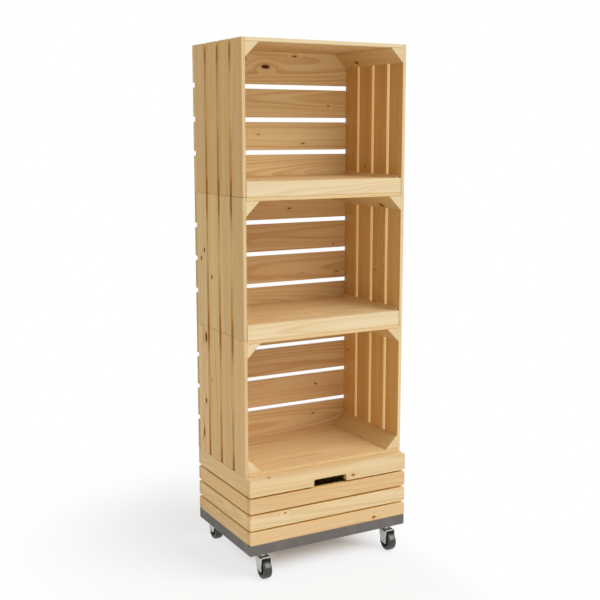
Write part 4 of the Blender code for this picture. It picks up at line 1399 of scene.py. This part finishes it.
class BaseEnds(Operator):
    """Clad the base's two ends with level slats on square inner posts"""

    bl_idname = "crate_stand.base_ends"
    bl_label = "Base ends"

    def execute(self, context):
        sizes = context.scene.crate_stand.base
        for side, sign in SIDES:
            node = f"base_{side}_end"
            low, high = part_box(node)
            front_low, front_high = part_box("base_front_slat_1")
            outer = high.x if sign > 0 else low.x
            inner = outer - sign * (front_high.y - front_low.y)
            xs = sorted((outer, inner))
            for number, amber in END_AMBERS.items():
                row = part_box(f"base_front_slat_{number}")
                lowest, highest = Vector((xs[0], low.y, row[0].z)), Vector((xs[1], high.y, row[1].z))
                # The base's ends carry painted light, and their rims the same painted light and shade of the
                # gaps as the front's
                rim = [value / own for value, own in zip(GAP_RIM_LIGHTING[number], BASE_END_LIGHT)]
                add_board(
                    f"base_{side}_plank_{number}", lowest, highest, ENDWAYS, "pine_base", [node],
                    BASE_END_CORNER, sizes.edge, ends=(CRISP, CRISP), amber=amber, tint=BASE_END_LIGHT,
                    rim=rim,
                )
            post_xs = sorted((inner, inner - sign * sizes.post_side))
            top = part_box("base_lid")[0].z - SEAM
            for end, start in (("front", low.y), ("back", high.y - sizes.post_side)):
                lowest = Vector((post_xs[0], start, low.z))
                highest = Vector((post_xs[1], start + sizes.post_side, top))
                add_board(
                    f"base_{side}_{end}_post", lowest, highest, UPRIGHT, "pine_base", [node],
                    INNER_POST_ROUND, INNER_POST_ROUND,
                )
        return {"FINISHED"}


class BaseLid(Operator):
    """Lay the base's lid, glued up from strips"""

    bl_idname = "crate_stand.base_lid"
    bl_label = "Base lid"

    def execute(self, context):
        add_node_board(
            "base_lid_panel", "base_lid", FLAT, "pine_board", LID_ROUND, LID_ROUND, strip=LID_STRIP
        )
        return {"FINISHED"}


class DollyBoard(Operator):
    """Paint the dolly board"""

    bl_idname = "crate_stand.dolly_board"
    bl_label = "Dolly board"

    def execute(self, context):
        sizes = context.scene.crate_stand.base
        # Its ends carry painted light
        add_node_board(
            "dolly_board_painted", "dolly_board", FLAT, "dolly_paint", sizes.dolly_corner, sizes.dolly_edge,
            end=DOLLY_END_LIGHT,
        )
        return {"FINISHED"}


class Nails(Operator):
    """Drive small brads through the slats into the posts"""

    bl_idname = "crate_stand.nails"
    bl_label = "Nails"

    def execute(self, context):
        sizes = context.scene.crate_stand.crate
        head = turned_mesh("nail_head", BRAD_PROFILE, BRAD_STEPS)
        for crate in CRATES:
            places = self.side_places(crate, sizes) + self.back_places(crate)
            nails = joined_mesh(f"{crate}_nails", head, places)
            add_piece(f"{crate}_nails", nails, Matrix(), "zinc", finish="dull_zinc")
        nails = joined_mesh("base_nails", head, self.base_places())
        add_piece("base_nails", nails, Matrix(), "zinc", finish="dull_zinc")
        bpy.data.meshes.remove(head)
        return {"FINISHED"}

    def side_places(self, crate, sizes):
        """Two brads near each end of each upright slat."""
        places = []
        for side, sign in SIDES:
            low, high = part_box(f"{crate}_{side}_side")
            outer = high.x if sign > 0 else low.x
            turn = Matrix.Rotation(sign * math.pi / 2, 4, "Y")
            for start, end in rows_between(low.y, high.y, sizes.slat_count, sizes.slat_width):
                luck = random.Random(f"{crate} {side} {start:.4f}")
                for level, up in ((low.z, 1), (high.z, -1)):
                    for across, inset in SIDE_BRADS:
                        y = (start + end) / 2 + across + luck.uniform(-SIDE_CHANCE, SIDE_CHANCE)
                        z = level + up * (inset + luck.uniform(-SIDE_CHANCE, SIDE_CHANCE))
                        places.append(Matrix.Translation((outer, y, z)) @ turn)
        return places

    def back_places(self, crate):
        """Two brads at each end of each back slat."""
        places = []
        turn = Matrix.Rotation(-math.pi / 2, 4, "X")
        for number in SLAT_NUMBERS:
            low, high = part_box(f"{crate}_back_slat_{number}")
            luck = random.Random(f"{crate} back {number}")
            for sign in (-1, 1):
                for part in BACK_BRADS:
                    inset = BACK_BRAD_INSET + luck.uniform(-BACK_INSET_CHANCE, BACK_INSET_CHANCE)
                    part += luck.uniform(-BACK_CHANCE, BACK_CHANCE)
                    z = low.z + (high.z - low.z) * part
                    places.append(Matrix.Translation((sign * (high.x - inset), high.y, z)) @ turn)
        return places

    def base_places(self):
        """Two brads at each end of each base slat."""
        places = []
        front_turn, back_turn = (Matrix.Rotation(sign * math.pi / 2, 4, "X") for sign in (1, -1))
        for number in SLAT_NUMBERS:
            low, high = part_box(f"base_front_slat_{number}")
            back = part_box(f"base_back_slat_{number}")[1].y
            for sign in (-1, 1):
                for part in BASE_BRADS:
                    z = low.z + (high.z - low.z) * part
                    luck = random.Random(f"base {number} {sign} {part}")
                    x = sign * (high.x - BASE_BRAD_INSET + luck.uniform(-BASE_CHANCE, BASE_CHANCE))
                    places.append(Matrix.Translation((x, low.y, z)) @ front_turn)
                    places.append(Matrix.Translation((x, back, z)) @ back_turn)
        return places


# Operators for the casters


def caster_place(caster):
    """A caster's own space: its origin on the floor under the kingpin, its wheel trailing to -Y."""
    swivel, axle = PIVOTS[f"{caster}_swivel"], PIVOTS[f"{caster}_wheel_spin"]
    heading = 0.0 if axle.y < swivel.y else math.pi
    return Matrix.Translation((swivel.x, swivel.y, 0.0)) @ Matrix.Rotation(heading, 4, "Z")


def axle_place(caster):
    """A wheel's own space: its origin on the axle and its Z along it."""
    return Matrix.Translation(PIVOTS[f"{caster}_wheel_spin"]) @ AXLE_TURN


def mirrored(upper):
    """A turned profile's upper half followed by its mirror image below."""
    return upper + [(radius, -height) for radius, height in reversed(upper)]


def ring_profile(upper, steps=ROUND_STEPS):
    """A ring's whole rounded profile from the corners of its upper half."""
    return fillet(upper + [(radius, -height, cut) for radius, height, cut in reversed(upper)], steps=steps)


class CasterPlates(Operator):
    """Make the casters' top plates with their upper races, kingpins and screws"""

    bl_idname = "crate_stand.caster_plates"
    bl_label = "Caster plates"

    def execute(self, context):
        sizes = context.scene.crate_stand.caster
        half, bottom = sizes.plate_side / 2, sizes.plate_bottom
        swivel = self.swivel_profile(sizes)
        screw = sizes.screw_head / 2
        cap = fillet([(part * screw, height, cut) for part, height, cut in SCREW_PROFILE], closed=False)
        screw_mesh = turned_mesh("screw_head", cap, SCREW_STEPS)
        inset = half - sizes.screw_inset
        spots = [Matrix.Translation((x, y, bottom)) for x in (-inset, inset) for y in (-inset, inset)]
        for caster in CASTERS:
            node = f"{caster}_caster_plate"
            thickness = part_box(node)[1].z - bottom
            place = caster_place(caster)
            # The plates and their screws take zinc darkened with painted shade, as they lie in the shade
            # under the dolly
            plate = add_piece(
                f"{node}_pressed", slab_mesh(node, rectangle(half, half, sizes.plate_corner), thickness),
                place @ Matrix.Translation((0, 0, bottom + thickness / 2)), "zinc", nodes=[node],
                finish="grimy_zinc",
            )
            soften(plate, PLATE_EDGE)
            add_piece(f"{caster}_caster_upper_race", turned_mesh(node, swivel), place, "zinc", nodes=[node])
            screws = joined_mesh(node, screw_mesh, spots)
            add_piece(f"{caster}_caster_screws", screws, place, "zinc", nodes=[node], finish="grimy_zinc")
        bpy.data.meshes.remove(screw_mesh)
        return {"FINISHED"}

    def swivel_profile(self, sizes):
        """The upper race, the kingpin under it and the pin's riveted head."""
        race, pin, head = sizes.race_diameter / 2, sizes.kingpin_diameter / 2, sizes.kingpin_head / 2
        seat, split = sizes.plate_bottom + PLATE_BITE, sizes.race_split + SEAM
        recess = sizes.race_split + UPPER_RECESS
        head_top = sizes.crown_top - sizes.sheet - SEAM
        head_bottom = head_top - PIN_HEAD_HEIGHT
        corners = [
            (0.0, seat, 0.0), (race, seat, 0.0), (race, split, UPPER_ROUND),
            (race - RACE_LIP, split, LIP_ROUND), (race - RACE_FLOOR, recess, LIP_ROUND),
            (pin, recess, 0.0), (pin, head_top, 0.0),
            (head, head_top, PIN_HEAD_UPPER), (head, head_bottom, PIN_HEAD_LOWER), (0.0, head_bottom, 0.0),
        ]
        return fillet(corners, closed=False)


class CasterForks(Operator):
    """Bend the casters' forks from sheet steel and set their lower races"""

    bl_idname = "crate_stand.caster_forks"
    bl_label = "Caster forks"

    def execute(self, context):
        sizes = context.scene.crate_stand.caster
        race, bore = sizes.race_diameter / 2, sizes.kingpin_diameter / 2 + SEAM
        seat, split = sizes.crown_top - sizes.sheet / 2, sizes.race_split
        recess = split - LOWER_RECESS
        ring = fillet([
            (race, seat, 0.0), (race - RACE_SLOPE, split, LOWER_ROUND), (race - RACE_LIP, split, LIP_ROUND),
            (race - RACE_FLOOR, recess, LIP_ROUND), (bore, recess, 0.0), (bore, seat, 0.0),
        ])
        for caster in CASTERS:
            node, body = f"{caster}_caster_fork", f"{caster}_fork"
            place = caster_place(caster)
            trail = abs(PIVOTS[f"{caster}_wheel_spin"].y - PIVOTS[f"{caster}_swivel"].y)
            sheet = self.sheet_mesh(node, sizes, trail)
            fork = add_piece(f"{node}_pressed", sheet, place, "zinc", body, [node])
            thick = fork.modifiers.new("Sheet thickness", "SOLIDIFY")
            thick.thickness = sizes.sheet
            thick.offset = -1.0
            thick.use_even_offset = True
            soften(fork, FORK_EDGE)
            race_mesh = turned_mesh(node, ring, ring=True)
            add_piece(f"{caster}_caster_lower_race", race_mesh, place, "zinc", body, [node])
        return {"FINISHED"}

    def sheet_mesh(self, name, sizes, trail):
        """The outer face of the bent sheet: a leg, a bend, the crown, the other bend and the other leg."""
        bm = bmesh.new()
        front = -trail - sizes.leg_ahead
        back = front + sizes.leg_top
        outer = sizes.leg_gap + sizes.sheet
        bend_x, bend_z = outer - sizes.bend, sizes.crown_top - sizes.bend
        bottom = sizes.wheel_diameter / 2 - sizes.leg_below
        leg = [
            (back, bend_z, 0.0), (front, bend_z, 0.0), (front, bottom, sizes.leg_corner),
            (front + sizes.leg_bottom, bottom + sizes.leg_slant, HEEL_ROUND),
        ]
        edges = {}
        for sign in (-1, 1):
            rows = []
            for step in range(BEND_STEPS + 1):
                angle = math.pi / 2 * step / BEND_STEPS
                x = sign * (bend_x + sizes.bend * math.cos(angle))
                z = bend_z + sizes.bend * math.sin(angle)
                rows.append([bm.verts.new((x, y, z)) for y in (front, back)])
            for row, following in zip(rows, rows[1:]):
                bm.faces.new((row[0], row[1], following[1], following[0]))
            foot = [bm.verts.new((sign * outer, y, z)) for y, z in fillet(leg)[2:]]
            bm.faces.new((rows[0][1], rows[0][0], *foot))
            edges[sign] = rows[-1]
        shoulder = back + SHOULDER
        tongue = fillet(
            [
                (bend_x, back, 0.0), (outer, shoulder, SHOULDER_ROUND),
                (outer, sizes.crown_back, TONGUE_ROUND), (-outer, sizes.crown_back, TONGUE_ROUND),
                (-outer, shoulder, SHOULDER_ROUND), (-bend_x, back, 0.0),
            ],
            closed=False,
        )
        rim = [bm.verts.new((x, y, sizes.crown_top)) for x, y in tongue[1:-1]]
        bm.faces.new((edges[-1][0], edges[1][0], edges[1][1], *rim, edges[-1][1]))
        bmesh.ops.recalc_face_normals(bm, faces=bm.faces)
        bm.faces.ensure_lookup_table()
        if bm.faces[-1].normal.z < 0:
            bmesh.ops.reverse_faces(bm, faces=bm.faces)
        return keep_mesh(bm, name)


class CasterAxles(Operator):
    """Rivet the axles through the forks"""

    bl_idname = "crate_stand.caster_axles"
    bl_label = "Caster axles"

    def execute(self, context):
        sizes = context.scene.crate_stand.caster
        shank = sizes.leg_gap + sizes.sheet + SEAM
        pin, head = sizes.axle_diameter / 2, sizes.axle_head / 2
        rivet = [(part * head, shank + height, cut) for part, height, cut in RIVET_PROFILE]
        upper = fillet(rivet + [(pin, shank, 0.0), (pin, 0.0, 0.0)], closed=False)
        profile = mirrored([tuple(point) for point in upper])
        for caster in CASTERS:
            node = f"{caster}_caster_axle"
            mesh = turned_mesh(node, profile, AXLE_STEPS)
            add_piece(f"{node}_riveted", mesh, axle_place(caster), "axle_steel", f"{caster}_fork", [node])
        return {"FINISHED"}


class CasterHubs(Operator):
    """Mould the wheels' hubs with their ribs"""

    bl_idname = "crate_stand.caster_hubs"
    bl_label = "Caster hubs"

    def execute(self, context):
        sizes = context.scene.crate_stand.caster
        rim = sizes.wheel_diameter / 2 - sizes.tyre_depth - SEAM
        rim_half, web = sizes.wheel_width / 2 - RIM_INSET, sizes.hub_web / 2
        boss, boss_half = sizes.hub_boss / 2, sizes.leg_gap - SEAM
        bore = sizes.axle_diameter / 2 + SEAM
        inner_rim = rim - sizes.hub_rim
        points = (
            (bore, boss_half), (boss - BOSS_DRAFT, boss_half), (boss, web), (inner_rim, web),
            (inner_rim + RIM_DRAFT, rim_half), (rim, rim_half),
        )
        profile = ring_profile([(*point, cut) for point, cut in zip(points, HUB_ROUNDS)])
        rib_outline = rectangle((inner_rim - boss) / 2 + RIB_BITE, RIB_HALF, RIB_CORNER)
        rib = slab_mesh("hub_rib", rib_outline, 2 * (rim_half - RIB_INSET))
        spots = []
        for index in range(sizes.hub_ribs):
            turn = Matrix.Rotation(2 * math.pi * index / sizes.hub_ribs, 4, "Z")
            spots.append(turn @ Matrix.Translation(((boss + inner_rim) / 2, 0.0, 0.0)))
        for caster in CASTERS:
            node, body = f"{caster}_caster_hub", f"{caster}_wheel"
            hub = turned_mesh(node, profile, WHEEL_STEPS, ring=True)
            add_piece(f"{node}_moulded", hub, axle_place(caster), "hub_plastic", body, [node])
            rib_mesh = joined_mesh(node, rib, spots)
            ribs = add_piece(f"{node}_ribs", rib_mesh, axle_place(caster), "hub_plastic", body, [node])
            soften(ribs, RIB_EDGE, 2)
        bpy.data.meshes.remove(rib)
        return {"FINISHED"}


class CasterTyres(Operator):
    """Mould the rubber tyres with round shoulders"""

    bl_idname = "crate_stand.caster_tyres"
    bl_label = "Caster tyres"

    def execute(self, context):
        sizes = context.scene.crate_stand.caster
        tread, half = sizes.wheel_diameter / 2, sizes.wheel_width / 2
        inner = tread - sizes.tyre_depth
        upper = [
            (inner, half - BEAD_DEPTH, BEAD_INNER), (inner + BEAD_WIDTH, half, BEAD_OUTER),
            (tread - SHOULDER_DROP, half, sizes.tyre_shoulder), (tread, TREAD_HALF, TREAD_ROUND),
        ]
        profile = ring_profile(upper, steps=TYRE_ROUND_STEPS)
        for caster in CASTERS:
            node = f"{caster}_caster_tyre"
            mesh = turned_mesh(node, profile, TYRE_STEPS, ring=True)
            add_piece(f"{node}_moulded", mesh, axle_place(caster), "rubber", f"{caster}_wheel", [node])
        return {"FINISHED"}


# The stage


class Stage(Operator):
    """Set the camera, the pale floor and the soft studio light"""

    bl_idname = "crate_stand.stage"
    bl_label = "Stage"

    def execute(self, context):
        look = context.scene.crate_stand.stage
        context.scene.view_settings.view_transform = "Standard"
        self.add_camera(context.scene, look)
        self.add_floor(context.scene, look)
        self.add_key(context.scene, look)
        self.set_world(context.scene, look)
        return {"FINISHED"}

    def add_camera(self, scene, look):
        """The camera, level across, at the angle of the picture."""
        camera = bpy.data.objects.new("stage_camera", bpy.data.cameras.new("stage_camera"))
        camera.data.lens = look.camera_lens
        camera.data.sensor_width = SENSOR_WIDTH
        yaw, pitch = look.camera_yaw, look.camera_pitch
        flat = math.cos(pitch)
        forward = Vector((math.sin(yaw) * flat, math.cos(yaw) * flat, math.sin(pitch)))
        turn = forward.to_track_quat("-Z", "Y").to_matrix().to_4x4()
        camera.matrix_world = Matrix.Translation(look.camera_place) @ turn
        scene.collection.objects.link(camera)
        scene.camera = camera

    def seen_directly(self, graph):
        """1 for what the camera sees, straight or in a mirror or glass."""
        path = graph.node("ShaderNodeLightPath").outputs
        rays = [path[name] for name in ("Is Camera Ray", "Is Glossy Ray", "Is Transmission Ray")]
        return graph.fold("MAXIMUM", rays)

    def add_floor(self, scene, look):
        """A round floor that keeps the stand's shadow near it and turns white further out."""
        bm = bmesh.new()
        bmesh.ops.create_circle(bm, cap_ends=True, segments=FLOOR_SEGMENTS, radius=look.floor_radius)
        floor = bpy.data.objects.new("stage_floor", mesh_from(bm, "stage_floor"))
        material = bpy.data.materials.new("stage_floor")
        graph = clear_graph(material)
        lit = graph.node("ShaderNodeBsdfDiffuse", {"Color": rgba(look.floor)}).outputs[0]
        place = graph.node("ShaderNodeTexCoord").outputs["Object"]
        away = graph.node("ShaderNodeVectorMath", {0: place}, operation="LENGTH").outputs["Value"]
        half = CAD_BOX[1]
        x, y, _ = graph.split(graph.vector("ABSOLUTE", place))
        outside = graph.math("MAXIMUM", graph.math("SUBTRACT", x, half.x), graph.math("SUBTRACT", y, half.y))
        in_mirror = graph.node("ShaderNodeLightPath").outputs["Is Glossy Ray"]
        outside = graph.math("MAXIMUM", outside, graph.step(in_mirror, 0.0, 1.0, -1.0, MIRRORED_AT))
        tone = graph.mix(graph.step(outside, *UNDER_RANGE), rgba(look.shade), WHITE)
        white = graph.node("ShaderNodeEmission", {"Color": tone, "Strength": 1.0}).outputs[0]
        lift = graph.step(outside, *UNDER_RANGE, look.lift_deep, look.lift_edge)
        drop = graph.step(outside, *SKIRT_RANGE, 0.0, look.lift_edge - look.lift)
        lift = graph.math("SUBTRACT", lift, drop)
        lit_start, lit_end = (half.x + reach for reach in LIT_RANGE)
        lit_side = graph.step(graph.split(place)[0], lit_start, lit_end, 1.0, 0.0)
        near = graph.math("MULTIPLY", lit_side, graph.step(away, look.fade_end, look.fade_start))
        dull = graph.math("MULTIPLY", graph.math("SUBTRACT", 1.0, lift), near)
        seen_white = graph.math("MULTIPLY", graph.math("SUBTRACT", 1.0, dull), self.seen_directly(graph))
        both = graph.node("ShaderNodeMixShader", {0: seen_white, 1: lit, 2: white}).outputs[0]
        graph.node("ShaderNodeOutputMaterial", {"Surface": both})
        floor.data.materials.append(material)
        floor.location.z = -FLOOR_DROP
        scene.collection.objects.link(floor)

    def add_key(self, scene, look):
        """One broad soft light from the front, the right and above."""
        lamp = bpy.data.lights.new("stage_key", "SUN")
        lamp.energy = look.key_light
        lamp.angle = look.key_spread
        key = bpy.data.objects.new("stage_key", lamp)
        key.matrix_world = Vector(look.key_from).to_track_quat("Z", "Y").to_matrix().to_4x4()
        scene.collection.objects.link(key)

    def set_world(self, scene, look):
        """Even light from all around, which the camera sees as white."""
        world = bpy.data.worlds.new("stage_world")
        graph = clear_graph(world)
        room, white = (
            graph.node("ShaderNodeBackground", {"Color": WHITE, "Strength": strength}).outputs[0]
            for strength in (look.room_light, 1.0)
        )
        both = graph.node("ShaderNodeMixShader", {0: self.seen_directly(graph), 1: room, 2: white}).outputs[0]
        graph.node("ShaderNodeOutputWorld", {"Surface": both})
        scene.world = world


BUILDERS = (
    SideSlats, CornerPosts, BackSlats, CrateBoards, Aprons, BaseSlats, BaseEnds, BaseLid, DollyBoard, Nails,
    CasterPlates, CasterForks, CasterAxles, CasterHubs, CasterTyres, Stage,
)


class StandPanel(Panel):
    """Lists the steps that dress the stand"""

    bl_idname = "VIEW3D_PT_crate_stand"
    bl_label = "Crate stand"
    bl_space_type = "VIEW_3D"
    bl_region_type = "UI"
    bl_category = "Crate stand"

    def draw(self, context):
        for builder in BUILDERS:
            self.layout.operator(builder.bl_idname)


CLASSES = (
    CrateSizes, BaseSizes, CasterSizes, WoodLook, MetalLook, StageLook, StandSettings, *BUILDERS, StandPanel,
)


def register():
    """Make the classes and the settings known to Blender."""
    for cls in CLASSES:
        bpy.utils.register_class(cls)
    bpy.types.Scene.crate_stand = PointerProperty(type=StandSettings)


def unregister():
    """Take the settings and the classes away again."""
    del bpy.types.Scene.crate_stand
    for cls in reversed(CLASSES):
        bpy.utils.unregister_class(cls)


def main():
    register()
    build = bpy.ops.crate_stand
    build.side_slats()
    build.corner_posts()
    build.back_slats()
    build.crate_boards()
    build.aprons()
    build.base_slats()
    build.base_ends()
    build.base_lid()
    build.dolly_board()
    build.nails()
    build.caster_plates()
    build.caster_forks()
    build.caster_axles()
    build.caster_hubs()
    build.caster_tyres()
    build.stage()


if __name__ == "__main__":
    main()
